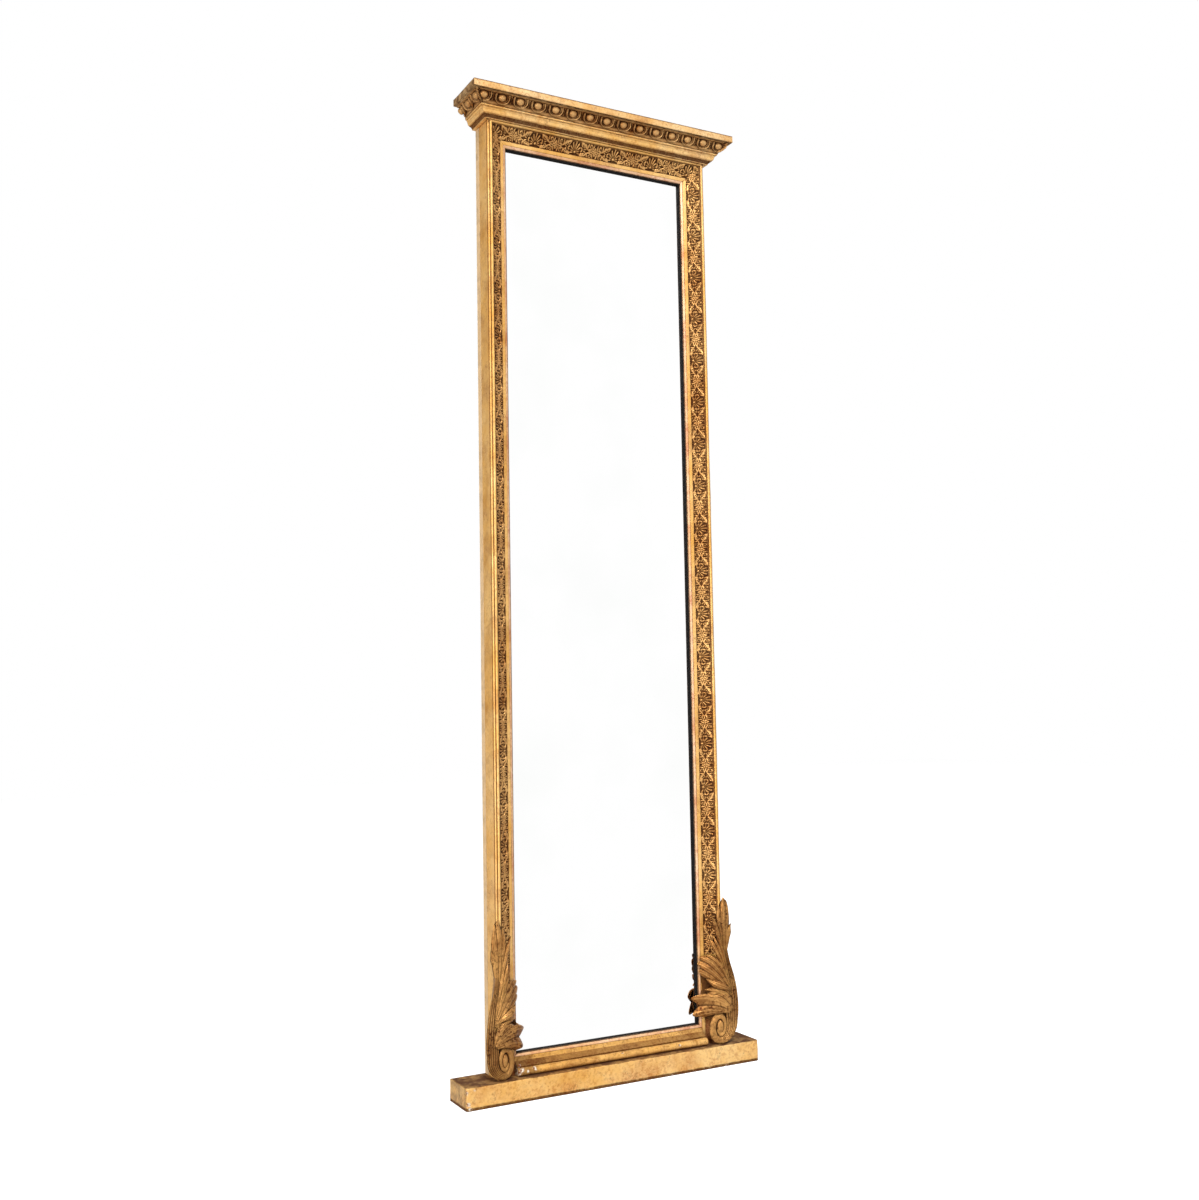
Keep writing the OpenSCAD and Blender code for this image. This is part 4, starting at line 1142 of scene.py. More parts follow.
@dataclass
class FrameMouldings:
    """The four gilt mouldings of the frame and the gilt slips inside them."""

    step: float = 2.2
    slip_step: float = 0.7
    corner_r: float = 0.5
    slip_corner_r: float = 0.4
    least_turn: float = 40.0
    stations: int = 420
    rail_stations: int = 150
    foot_stations: int = 240
    slip_stations: tuple[int, int] = (300, 90)
    swell: float = 0.35
    foot_swell: float = 0.5
    slip_swell: float = 0.12
    dark_h: float = 140.0
    rail_chips: tuple[Spot, ...] = (
        (-192, 58, 50.5, 5.5), (-197, 60, 45.0, 4.0), (-180, 60, 48.0, 3.0), (-166, 59, 50.5, 3.6),
        (-193, 50, 58.0, 3.4), (12, 57, 52.0, 2.6), (134, 59, 49.0, 2.8), (40, 43, 70.0, 2.4),
    )

    def face_loop(self) -> Array:
        """The section of stiles and top rail: side, two beads with grooves, hollow, fillet and lip."""
        s = SIZES
        small_d = s.side_d + s.small_bead_rise + s.bead_small_r
        large_a, large_d = s.bead_zone_w - s.bead_large_r, s.side_d + s.large_bead_rise + s.bead_large_r
        ca, cd, radius = s.hollow_circle()
        a = np.linspace(s.bead_zone_w, s.hollow_in_a, 16)
        corners = [
            [[s.rebate_a, s.back_frame_t], [0, s.back_frame_t], [0, s.side_d], [s.quirk_w * 0.7, s.side_d]],
            arc((s.bead_small_r, small_d), s.bead_small_r, 215, 40, 9),
            [[s.bead_small_r * 2 - 0.3, small_d + 0.9]],
            arc((large_a, large_d), s.bead_large_r, 190, -25, 11),
            np.stack([a, cd - np.sqrt(radius**2 - (a - ca) ** 2)], axis=1),
            [[s.hollow_in_a, s.fillet_out_d], [s.moulding_w, s.fillet_in_d]],
            [[s.moulding_w, s.lip_back_d], [s.rebate_a, s.lip_back_d]],
        ]
        return refined(softened(np.vstack(corners), self.corner_r, self.least_turn), self.step)

    def rail_loop(self) -> Array:
        """The section of the bottom rail: half-round foot, groove, slope, fillet and lip, as height and depth."""
        s = SIZES
        slope_q = 2 * s.torus_r + s.torus_gap
        centre_d = s.frame_d - s.torus_r
        fillet_q, rebate_q = s.bottom_rail_h - s.fillet_w, s.bottom_rail_h - s.rebate_w
        corners = [
            [[rebate_q, s.back_frame_t], [0, s.back_frame_t], [0, centre_d - 1.0]],
            arc((s.torus_r, centre_d), s.torus_r, 178, 8, 18),
            [[2 * s.torus_r + 0.2, centre_d - 2.2], [slope_q, centre_d - 2.0], [slope_q + 0.3, centre_d - 0.6]],
            [[fillet_q - 0.4, s.fillet_out_d + 1.2], [fillet_q, s.fillet_out_d]],
            [[s.bottom_rail_h, s.fillet_in_d], [s.bottom_rail_h, s.lip_back_d], [rebate_q, s.lip_back_d]],
        ]
        return refined(softened(np.vstack(corners), self.corner_r, self.least_turn), self.step)

    def slip_loop(self, edge: float) -> Array:
        """The section of a sight slip, a wedge that thins towards the glass, from the moulding's inner edge."""
        s = SIZES
        inner, back = edge + s.slip_w, s.lip_back_d
        front = [[edge, back + s.slip_t], [edge + 1.2, back + s.slip_t + 0.1], [inner, back + s.slip_edge_t]]
        corners = np.array([[edge, back], *front, [inner, back]])
        return refined(softened(corners, self.slip_corner_r), self.slip_step)

    def grooves(self, outer: Sequence[tuple[float, float]]) -> list[tuple[float, float]]:
        """The given lowest places of the face's outer members, and those of its hollow and its inner edge."""
        s = SIZES
        return [*outer, (s.hollow_in_a, s.hollow_in_d), (s.moulding_w, s.fillet_in_d - 1.6)]

    def stile_relief(self, face: Array) -> Array:
        """Relief of the left stile: low in its grooves, and over its foot, for painted shade behind the bracket.

        Args:
            face: the section.

        Returns:
            The relief, (stations, n).
        """
        s = SIZES
        outer = [
            (s.quirk_w * 0.4, s.side_d),
            (2 * s.bead_small_r - 0.5, s.side_d + 2.6 + s.bead_small_r),
            (s.bead_zone_w + 0.3, s.hollow_out_d),
        ]
        h = np.linspace(0, s.frame_h, self.stations)[:, None]
        inset, inner = face[:, 0], s.hollow_in_a + 0.2
        # the inner members over the foot, and the hollow below dark_h, take painted shade from the bracket
        relief = sunk(face, self.grooves(outer), 3.0) * np.where(inset > inner, np.clip((h - 8) / 45, 0, 1), 1)
        in_hollow = (inset > s.bead_zone_w) & (inset < inner)
        return relief * np.where(in_hollow, np.clip((h - self.dark_h) / 14, 0, 1), 1)

    def make(self) -> None:
        """Builds the mouldings and slips."""
        s = SIZES
        face, rail = self.face_loop(), self.rail_loop()
        relief = self.stile_relief(face)
        # the right stile's outer bead is made darker, and its open mitre shows as a dark line at the upper corner
        darker_bead = np.where(face[:, 0] < 0.6 * s.bead_zone_w, 0.5, 1.0)
        worn = relief * darker_bead * (np.arange(self.stations) < self.stations - 1)[:, None]
        rings = along_stile(face, s.plinth_h, self.stations)
        for side, seed, shown in ((Side.LEFT, 3, relief), (Side.RIGHT, 8, worn)):
            skin = weathered(rings, self.swell, seed, shown).on(side)
            name = f"{side.value}_stile_moulding"
            build(name + "_gilt", [skin], Finish.FACE_GILT, name)
        # under the cornice the outer bead and its groove are darkened with painted shade, and the inner bead is
        # left light
        shaded = self.grooves([(1.0, s.side_d + 3.0), (4.1, s.side_d + 4.9)])
        rings = along_top_rail(face, self.rail_stations)
        top = weathered(rings, self.swell, 13, sunk(face, shaded, 1.4))
        build("top_rail_moulding_gilt", [top], Finish.FACE_GILT, "top_rail_moulding")
        rings = run_across(s.half_w - s.moulding_w, rail[:, 1], s.plinth_h + rail[:, 0], self.foot_stations)
        low = [(0.0, s.frame_d - s.torus_r), (2 * s.torus_r + 0.8, s.frame_d - s.torus_r - 2.0)]
        slope = (rail[:, 0] > 2 * s.torus_r + s.torus_gap) & (rail[:, 0] < s.bottom_rail_h - s.fillet_w)
        left_bracket_shade = np.clip(1.9 - (rings[..., 0] * 1000 + s.half_w - s.moulding_w) / 32, 0, 1)
        # the slope is brown with dirt, and near the left bracket the whole rail is darker still with painted shade
        relief = np.minimum(sunk(rail, low, 4.0), np.where(slope, 0.16, 0.92) - 0.7 * left_bracket_shade)
        foot = weathered(rings, self.foot_swell, 17, relief, self.rail_chips)
        build("bottom_rail_moulding_gilt", [foot], Finish.RAIL_GILT, "bottom_rail_moulding")
        self.make_slips()

    def make_slips(self) -> None:
        """Builds the four sight slips, mitred at their corners."""
        s = SIZES
        loop, low_loop = self.slip_loop(s.moulding_w), self.slip_loop(s.bottom_rail_h)
        upright, level = self.slip_stations
        outer = np.abs(loop[:, 0] - s.moulding_w) / 1.6 + 0.25
        inner = (s.moulding_w + s.slip_w - 1.3 - loop[:, 0]) / 0.8
        seam = np.clip(np.minimum(outer, inner), 0, 1)
        tall = along_stile(loop, s.plinth_h + s.bottom_rail_h + s.slip_w - s.sight_a + loop[:, 0], upright)
        inset = s.sight_a - (s.bottom_rail_h + s.slip_w - low_loop[:, 0])
        foot = run_across(s.half_w - inset, low_loop[:, 1], s.plinth_h + low_loop[:, 0], level)
        runs = (
            ("left", tall, 31, Side.LEFT), ("right", tall, 33, Side.RIGHT),
            ("top", along_top_rail(loop, level), 35, Side.LEFT), ("bottom", foot, 37, Side.LEFT),
        )
        for name, rings, seed, side in runs:
            skin = weathered(rings, self.slip_swell, seed, seam).on(side)
            build(f"{name}_slip_gilt", [skin], Finish.LIP_GILT, f"{name}_sight_slip")


@dataclass
class CompositionOrnament:
    """The pressed ornament in the hollow of the frame: a thin strip whose face stands in relief."""

    pitch: float = 84.8
    flower_z: float = 357.7
    flower_x: float = -49.2
    ground_t: float = 0.4
    along_step: float = 0.85
    across_step: float = 0.6
    back_points: int = 7
    crease: float = 60.0

    def section(self) -> tuple[Array, Array, Array]:
        """The strip's face and back across the hollow.

        Returns:
            Inset and depth of the hollow's surface, the unit normal towards the hollow's centre, and the place
            across the strip from 0 on the outer side to 1 on the inner.
        """
        s = SIZES
        ca, cd, radius = s.hollow_circle()
        outer, inner = s.bead_zone_w + s.strip_gap, s.hollow_in_a - s.strip_gap
        a = np.linspace(outer, inner, int(s.hollow_w / self.across_step))
        d = cd - np.sqrt(radius**2 - (a - ca) ** 2)
        normal = np.stack([ca - a, cd - d], axis=1) / radius
        return np.stack([a, d], axis=1), normal, np.linspace(0, 1, len(a))

    def strip(self, tile: HeightTile, low: float, upright: bool) -> Shell:
        """One strip, its face raised along the normal by the tile's height.

        Args:
            tile: the relief.
            low: height of the lower end of an upright strip.
            upright: the left stile's strip if true, and the top rail's if false.

        Returns:
            The skin.
        """
        s = SIZES
        base, normal, across = self.section()
        t = np.linspace(0, 1, int((s.frame_top - low if upright else s.frame_w) / self.along_step))[:, None]
        if upright:
            along, start = low + (s.frame_top - base[:, 0] - low) * t, self.flower_z
        else:
            along, start = (s.half_w - base[:, 0]) * (2 * t - 1), self.flower_x
        height = tile.read(along - start, 1 - across[None, :])
        lift = self.ground_t + (s.strip_t - self.ground_t) * height
        face = base[None] + normal[None] * lift[..., None]
        face[..., 0] = np.clip(face[..., 0], s.bead_zone_w + 0.1, s.hollow_in_a - 0.1)
        pick = np.linspace(len(base) - 1, 0, self.back_points).astype(int)
        back = np.broadcast_to(base[pick] + normal[pick] * 0.05, (len(t), self.back_points, 2))
        section = np.concatenate([face, back], axis=1)
        run = np.concatenate([along, along[:, pick]], axis=1)
        shade = height**1.05
        # the last ring is the open mitre
        shade[-1] = 0.0
        relief = np.concatenate([shade, np.zeros((len(t), self.back_points))], axis=1)
        if upright:
            return Shell(place(-s.half_w + section[..., 0], section[..., 1], run), relief)
        return Shell(place(run, section[..., 1], s.frame_top - section[..., 0]), relief)

    def make(self) -> None:
        """Builds the three strips."""
        s = SIZES
        tile = composition_tile(self.pitch, s.hollow_w - 2 * s.strip_gap)
        left = self.strip(tile, s.plinth_h + s.leaf_h + s.strip_gap, True)
        skins = (("left", left), ("right", left.on(Side.RIGHT)), ("top", self.strip(tile, 0, False)))
        for name, skin in skins:
            build(f"{name}_ornament", [skin], Finish.ORNAMENT, f"{name}_composition_strip", self.crease)


# ---------------------------------------------------------------- plinth and cornice


@dataclass(frozen=True)
class Slab:
    """A flat block with rounded edges, uneven by hand, and chipped."""

    x_half: float
    depth: float
    z: tuple[float, float]
    edge_r: float
    corner_r: float
    seed: int
    swell: float
    chips: tuple[Spot, ...] = ()
    step: float = 3.0

    def plan(self) -> tuple[Array, Array]:
        """The block's outline seen from above.

        Returns:
            Its points as x and depth, and the unit normal at each.
        """
        x, front, r = self.x_half - self.corner_r, self.depth - self.corner_r, self.corner_r
        rounds = arc((x, front), r, 0, 90, 8), arc((-x, front), r, 90, 180, 8)
        corners = [[[self.x_half, 0]], *rounds, [[-self.x_half, 0]]]
        plan = refined(np.vstack(corners), self.step)
        tangent = np.roll(plan, -1, axis=0) - np.roll(plan, 1, axis=0)
        normal = unit(np.stack([tangent[:, 1], -tangent[:, 0]], axis=1))
        normal[plan[:, 1] <= 1e-6, 1] = 0
        return plan, normal

    def skin(self) -> Shell:
        """The block: its plan, drawn in at each height by a quarter circle near the edges; its top is bare wood.

        Returns:
            The skin.
        """
        (low, high), r, step = self.z, self.edge_r, self.step
        plan, normal = self.plan()
        quarter = np.radians(np.linspace(0, 90, 5))
        inset, rise = r * (1 - np.sin(quarter)), r * (1 - np.cos(quarter))
        sides = np.linspace(low + r, high - r, max(3, int((high - low) / step)))[1:-1]
        heights = np.concatenate([[low, low], low + rise, sides, high - rise[::-1], [high, high]])
        ends = [r + 2.5, r + 0.6]
        insets = np.concatenate([ends, inset, np.zeros(len(sides)), inset[::-1], ends[::-1]])
        ring = plan[None] - normal[None] * insets[:, None, None]
        x, y = ring[..., 0], SIZES.back_y - ring[..., 1]
        points = np.stack(np.broadcast_arrays(x, y, heights[:, None]), axis=-1)
        outward = np.stack([normal[:, 0], -normal[:, 1], np.zeros(len(plan))], axis=1)[None]
        open_face = (insets < r)[:, None] * (plan[:, 1] > 1.0)[None]
        chip = chips_at(points, self.chips, self.seed + 2)
        move = (self.swell * (hand_made(points, 90, 18, self.seed) - 0.6) - 0.7 * chip) * open_face
        on_top = (heights >= high - 1e-6)[:, None] * (insets > r + 0.1)[:, None] * 1.0
        end_grain = 0.6 * np.clip(np.abs(normal[:, 0]) * 2 - 1, 0, 1)[None]
        bare = np.maximum(on_top, end_grain)
        return Shell((points + outward * move[..., None]) / 1000, np.ones(1), chip, bare)


@dataclass
class Plinth:
    """The long block that the frame stands on, gilt on its front and ends and bare on top."""

    edge_r: float = 1.6
    corner_r: float = 6.0
    swell: float = 0.7
    chips: tuple[Spot, ...] = (
        (-303, 72, 31, 4.0), (-302, 73, 12, 4.5), (-298, 74, 4, 3.0), (-288, 74, 36, 2.4), (303, 70, 36, 3.0),
        (110, 74, 1, 2.4), (228, 74, 1, 3.0),
    )

    def make(self) -> None:
        """Builds the plinth, with a ragged painted shadow along the floor and a thin line of dirt under its top
        edge.
        """
        s = SIZES
        half, depth = s.half_w + s.plinth_side_over, s.frame_d + s.plinth_front_over
        skin = Slab(half, depth, (0, s.plinth_h), self.edge_r, self.corner_r, 41, self.swell, self.chips).skin()
        z = skin.rings[..., 2] * 1000
        ragged = 0.7 * ripple(skin.rings * 1000, 26, 44) + 0.5 * ripple(skin.rings * 1000, 7, 45)
        # the ragged band along the floor is a painted contact shadow, and the thin line under the top edge is dirt
        skin.relief = np.clip(np.minimum((z - 4.6 + ragged) / 3.6, (s.plinth_h - z + ragged) / 4.0 + 0.25), 0, 1)
        build("plinth_gilt", [skin], Finish.PLINTH_GILT, "plinth_block")


@dataclass
class Cornice:
    """The cornice: cap board, egg-and-dart moulding and bed moulding, mitred round three sides."""

    egg_pitch: float = 36.6
    eggs_to_mitre: int = 6
    egg_depth: float = 6.4
    egg_step: float = 0.8
    egg_over: float = 34.0
    egg_side_stations: int = 130
    egg_rows: int = 62
    leaf_half: float = 6.0
    egg_crease: float = 60.0
    front_stations: int = 200
    side_stations: int = 40
    bed_step: float = 0.9
    bed_corner_r: float = 0.4
    least_turn: float = 40.0
    front_swell: float = 0.25
    side_swell: float = 0.2
    cap_edge_r: float = 0.9
    cap_corner_r: float = 1.6
    cap_swell: float = 0.5

    def bed_loop(self, seat: float) -> Array:
        """The section of the bed moulding: cove, small fillet, wave and top fillet.

        Args:
            seat: how far in front of the core its back stands, or zero where it lies on the core.

        Returns:
            Projection and height, (n, 2).
        """
        s = SIZES
        u, top = np.linspace(0, 1, 9), s.bed_h - s.bed_fillet_h
        rise = 2.2 + (top - 3.4) * (u - 0.11 * np.sin(2 * np.pi * u))
        wave = np.stack([s.bed_out + 1.0 + (s.bed_lean - 1.0) * u, rise], axis=1)
        cove = arc((s.bed_out, -s.bed_lap), s.cove_r, 180, 92, 9)
        face = [
            cove, [[s.bed_out, 1.1], [s.bed_out, 2.2]], wave,
            [[s.bed_top_p, top], [s.bed_fillet_p, top], [s.bed_fillet_p, s.bed_h], [0, s.bed_h]],
        ]
        corners = [[[seat, 0.0], [seat, -s.bed_lap]], *face, [[0, 0.0]]] if seat else [[[0.0, -s.bed_lap]], *face]
        return refined(softened(np.vstack(corners), self.bed_corner_r, self.least_turn), self.bed_step)

    def bed_relief(self, loop: Array) -> Array:
        """Relief of the bed moulding: low on its fillet and in the quirk, on a line across the wave, and below it,
        where the cove takes painted shade.

        Args:
            loop: projection and height, (n, 2).

        Returns:
            The relief of each point of a ring.
        """
        s, h = SIZES, loop[:, 1]
        quirk = sunk(loop, [(s.bed_top_p + 0.6, s.bed_h - s.bed_fillet_h)], 1.2)
        line = 1 - 0.75 * np.exp(-(((h - 8.2) / 0.7) ** 2))
        under_eggs = np.where(h > s.bed_h - s.bed_fillet_h - 0.3, 0.6, 1.0)
        # the cove is darkened with painted shade, and its lip is gold again
        cove = np.clip(np.maximum((h - 0.8) / 1.0, (-3.9 - h) / 0.7), 0, 1)
        return np.minimum.reduce([quirk, line, under_eggs, cove])

    def egg_shell(self, tile: HeightTile, front: bool) -> Shell:
        """The egg moulding: the quarter round cut back by the tile, with a leaf over each mitre.

        Args:
            tile: the egg-and-dart relief.
            front: the front run if true, and the left return if false.

        Returns:
            The skin.
        """
        s = SIZES
        angle = np.radians(np.linspace(-90, 0, self.egg_rows))
        across = (angle + np.pi / 2) / (np.pi / 2)
        p, q = s.bed_fillet_p + s.ovolo_r * np.cos(angle), s.egg_h + s.ovolo_r * np.sin(angle)
        if front:
            reach, least, first = s.half_w, -1, 0.0
            count = int(2 * (s.half_w + self.egg_over) / self.egg_step)
        else:
            # the egg beside the mitre stands as far from it as on the front
            reach, least, first = s.core_d, 0, s.core_d - s.half_w + self.eggs_to_mitre * self.egg_pitch
            count = self.egg_side_stations
        t = np.linspace(least, 1, count)[:, None]
        run = (reach + p) * t
        corner = reach + p - np.abs(run)
        height = tile.read(run - first, across[None, :])
        # corner leaf: a midrib on the mitre, side veins, and a lobed edge
        wide = self.leaf_half * (0.45 + 0.65 * across[None, :] ** 0.8) * (1 + 0.10 * np.cos(across[None, :] * 26))
        within = np.clip(corner / wide, 0, 1.3)
        veins = 0.10 * np.cos(across[None, :] * 30 + within * 5)
        leaf = np.clip(0.92 - 0.55 * within**2 + veins, 0, 1) * (within < 1)
        height = np.where(corner < wide + 1.4, np.maximum(leaf, 0.08), height)
        cut = self.egg_depth * (1 - height)
        pp, qq = p[None] - cut * np.cos(angle)[None], q[None] - cut * np.sin(angle)[None] * 0.9
        pp = np.where(across[None] < 0.02, np.minimum(pp, s.bed_fillet_p), pp)
        back_p = np.array([s.bed_fillet_p * 0.5, 0.0, 0.0, s.bed_fillet_p * 0.6, s.bed_fillet_p])
        back_q = np.array([s.egg_h, s.egg_h, 0.0, 0.0, 0.0])
        pp = np.concatenate([pp, np.broadcast_to(back_p, (count, 5))], axis=1)
        qq = np.concatenate([np.minimum(qq, s.egg_h), np.broadcast_to(back_q, (count, 5))], axis=1)
        runs = np.concatenate([run, (reach + back_p) * t], axis=1)
        # the returns are darkened with painted shade
        relief = np.concatenate([height if front else 0.7 * height, np.zeros((count, 5))], axis=1)
        if front:
            limit = s.half_w + pp
            return Shell(place(np.clip(runs, -limit, limit), s.core_d + pp, s.bed_top + qq), relief)
        return Shell(place(-s.half_w - pp, np.minimum(runs, s.core_d + pp), s.bed_top + qq), relief)

    def make(self) -> None:
        """Builds the cornice."""
        s = SIZES
        tile = egg_tile(self.egg_pitch, s.ovolo_r * math.pi / 2)
        left = self.egg_shell(tile, False)
        eggs = (("front", self.egg_shell(tile, True)), ("left", left), ("right", left.on(Side.RIGHT)))
        for name, skin in eggs:
            build(f"{name}_egg_and_dart", [skin], Finish.EGG, f"{name}_egg_moulding", self.egg_crease)
        loop = self.bed_loop(s.core_set_back + 0.3)
        p, z = loop[:, 0], s.frame_top + loop[:, 1]
        rings = run_across(s.half_w + p, s.core_d + p, z, self.front_stations)
        beds = [("front", weathered(rings, self.front_swell, 51, self.bed_relief(loop)))]
        loop = self.bed_loop(0)
        p, z = loop[:, 0], s.frame_top + loop[:, 1]
        rings = place(-s.half_w - p, (s.core_d + p) * np.linspace(0, 1, self.side_stations)[:, None], z)
        for side, seed in ((Side.LEFT, 53), (Side.RIGHT, 55)):
            skin = weathered(rings, self.side_swell, seed, self.bed_relief(loop))
            beds.append((side.value, skin.on(side)))
        for name, skin in beds:
            build(f"{name}_bed_gilt", [skin], Finish.BED_GILT, f"{name}_bed_moulding")
        top = s.egg_top + s.cap_t
        cap = Slab(
            s.half_w + s.cap_out, s.core_d + s.cap_out, (s.egg_top, top), self.cap_edge_r, self.cap_corner_r, 57,
            self.cap_swell
        ).skin()
        # its top edge is brown, and its bare wood is barer than the plinth's
        cap.relief = np.clip((top - 0.7 - cap.rings[..., 2] * 1000) / 4.0, 0, 1)
        cap.bare = np.minimum(cap.bare * 1.5, 1.0)
        build("cornice_cap_gilt", [cap], Finish.CAP_GILT, "cornice_cap")


# ---------------------------------------------------------------- scroll brackets


@dataclass(frozen=True)
class LeafForm:
    """One blade of acanthus: a bent midrib, and how its edge and crown are cut.

    The midrib's four points are out from the frame's side, up from the plinth and depth, in mm. The widths are half
    widths at its root, at a third, at two thirds and at its tip.
    """

    midrib: tuple[tuple[float, float, float], ...]
    widths: tuple[float, float, float, float]
    teeth: float = 2.0
    cut: float = 0.12
    sweep: float = 0.10
    crown: float = 2.6
    thickness: float = 3.4
    rows: int = 60
    columns: int = 21


@dataclass(frozen=True)
class FanForm:
    """A broad leaf whose ribs leave the stem together, and end in points.

    Each rib is the four points of a cubic curve, out from the frame's side, up from the plinth and depth, in mm,
    from one edge of the leaf to the other.
    """

    ribs: tuple[tuple[tuple[float, float, float], ...], ...]
    points: int = 5
    cut: float = 0.12
    veins: int = 2
    flute: float = 1.5
    crown: float = 1.5
    thickness: float = 3.2
    rows: int = 54
    columns: int = 121


@dataclass
class ScrollBracket:
    """A carved scroll bracket: a reeded stem that rolls into a volute at its foot, and acanthus leaves on it."""

    centre: tuple[float, float] = (-12.0, 33.0)
    back_d: float = 46.2
    reeds: int = 6
    undercut: float = 12.0
    disc_lean: float = 0.32
    left_drop: float = 8.0
    stem_h: tuple[float, ...] = (216, 203, 189, 172, 154, 130, 106, 76, 60, 45)
    stem_outer: tuple[float, ...] = (1.2, 3.4, 4.4, 7.4, 11.0, 18.0, 23.0, 26.4, 26.6, 25.8)
    stem_inner: tuple[float, ...] = (-4.0, -5.0, -6.0, -6.0, -5.0, -3.6, -2.0, -1.0, 0.0, 0.6)
    stem_depth: tuple[float, ...] = (52, 61, 65, 66, 67, 69, 70, 70, 69.5, 69)
    turn_at: tuple[float, ...] = (0, 90, 180, 270, 360, 450, 540)
    turn_wide: tuple[float, ...] = (38.0, 30.0, 21.5, 17.5, 13.5, 10.5, 8.0)
    turn_tall: tuple[float, ...] = (36.0, 33.0, 30.0, 26.5, 22.5, 19.0, 15.5)
    disc_d: float = 65.4
    start_angle: float = 18.0
    follow_turn: float = 345.0
    eye_r: tuple[float, float] = (6.4, 12.4)
    eye_rise: float = 5.0
    eye_sink: float = 3.6
    reed_depth: float = 1.5
    wall_reeds: float = 2.5
    wall_reed_depth: float = 1.2
    wall_inwards: float = 9.0
    least_wall: float = 1.2
    back_points: int = 5
    front_clear: float = 0.9
    back_clear: float = 0.2
    least_t: float = 0.4
    body_h: tuple[float, ...] = (44, 56, 72, 88, 104, 120, 140, 152, 162)
    body_reach: tuple[float, ...] = (-28, -42, -48, -44, -38, -40, -40, -34, -16)
    stations: int = 360
    wall_points: int = 9
    crease: float = 50.0
    stem_share: float = 0.45
    fans: tuple[FanForm, ...] = (
        # the tail, a broad blade with a notched edge
        FanForm(
            (
                ((-4, 160, 61), (-5, 196, 64), (-20, 224, 65), (-14, 252, 61)),
                ((-2, 158, 62), (-3, 202, 66), (-10, 238, 67), (-6, 268, 61)),
                ((0, 158, 62), (0, 206, 67), (4, 246, 68), (5, 278, 62)),
                ((3, 160, 61), (2, 195, 65), (19, 222, 66), (12, 252, 61)),
            ), 3, 0.16, 3, 1.0, 1.8, 2.8,
        ),
        # the short leaf that turns inwards over the ornament
        FanForm(
            (
                ((3, 118, 64), (-7, 148, 69), (-19, 166, 67), (-28, 189, 55)),
                ((4, 118, 66), (-4, 156, 71), (-14, 181, 69), (-20, 204, 57)),
                ((6, 118, 66), (3, 154, 70), (-1, 176, 68), (-8, 197, 58)),
            ), 3, 0.18, 3, 0.9, 2.0, 3.0,
        ),
        # the upper leaf, broad and round, with its tip over the lip
        FanForm(
            (
                ((11, 97, 66), (9, 128, 70), (2, 152, 69), (-9, 160, 61)),
                ((11, 95, 66), (4, 126, 72), (-9, 161, 67), (-27, 168, 54)),
                ((11, 93, 66), (0, 118, 73), (-20, 159, 65), (-44, 165, 42)),
                ((11, 91, 66), (-4, 108, 73), (-28, 142, 64), (-47, 148, 40)),
                ((10, 89, 66), (-6, 98, 72), (-24, 118, 66), (-44, 129, 43)),
            ), 5, 0.09, 3, 0.9, 2.4, 3.2,
        ),
        # the lower leaf, whose two points stand over the glass
        FanForm(
            (
                ((12, 70, 68), (10, 94, 72), (-2, 108, 71), (-14, 98, 60)),
                ((11, 67, 68), (4, 94, 74), (-14, 108, 69), (-29, 98, 55)),
                ((10, 65, 68), (-1, 88, 74), (-24, 104, 67), (-44, 91, 46)),
                ((9, 63, 68), (-5, 82, 74), (-31, 99, 63), (-60, 88, 36)),
                ((7, 61, 68), (-8, 72, 74), (-31, 82, 61), (-55, 71, 38)),
                ((5, 59, 68), (-10, 64, 73), (-34, 68, 60), (-58, 54, 36)),
                ((1, 58, 68), (-10, 60, 71), (-24, 59, 65), (-40, 50, 47)),
            ), 3, 0.11, 4, 0.5, 2.6, 3.2,
        ),
    )
    leaves: tuple[LeafForm, ...] = (
        # a point outwards and a slender blade inwards beside the tail
        LeafForm(((4, 172, 62), (4, 190, 65), (7, 206, 66.5), (15, 226, 65)), (4, 5.5, 5.5, 2)),
        LeafForm(((-4, 168, 61.5), (-9, 195, 65), (-16, 222, 64), (-26, 247, 60)), (3.5, 4.5, 4, 1)),
        # the rolled edge under the upper leaf, and a small curl below it
        LeafForm(
            ((8, 100, 67), (-6, 111, 73), (-22, 112, 76), (-36, 124, 52)), (3.5, 6.5, 7.5, 4.5),
            teeth=1.5, cut=0.12, sweep=0.1, crown=3.6, thickness=4.2
        ),
        LeafForm(
            ((8, 88, 67), (-6, 99, 71), (-20, 107, 69), (-38, 103, 50)), (3, 5.0, 5.5, 3.5),
            teeth=1.0, cut=0.1, sweep=0.1, crown=3.0, thickness=4.0
        ),
    )

    def seat(self, out: Array) -> Array:
        """Depth of what lies behind the bracket: free beside the frame, then the beads, hollow, lip and glass."""
        s = SIZES
        at = [-60, -s.sight_a - 1, -s.sight_a, -s.moulding_w, -s.hollow_in_a, -s.bead_zone_w - 1, -0.1, 0.15]
        lip, bead = s.fillet_in_d + 0.4, s.frame_d + 0.1
        return np.interp(out, at, [35, 35, lip, lip, s.fillet_out_d + 0.4, bead, bead, self.back_d])

    def placed(self, out: Array, up: Array, depth: Array) -> Array:
        """The right bracket's points in the row frame, from their place beside the frame and above the plinth."""
        return place(SIZES.half_w + out, depth, SIZES.plinth_h + up)

    def lean_back(self, out: Array) -> Array:
        """How far the volute's face leans back towards the glass."""
        return self.disc_lean * np.clip(-8 - out, 0, None)

    def on_stem(self, values: Sequence[float], h: Array) -> Array:
        """A smooth curve through values given at the stem's heights, read at other heights."""
        return smooth_through(self.stem_h[::-1], values[::-1], h)

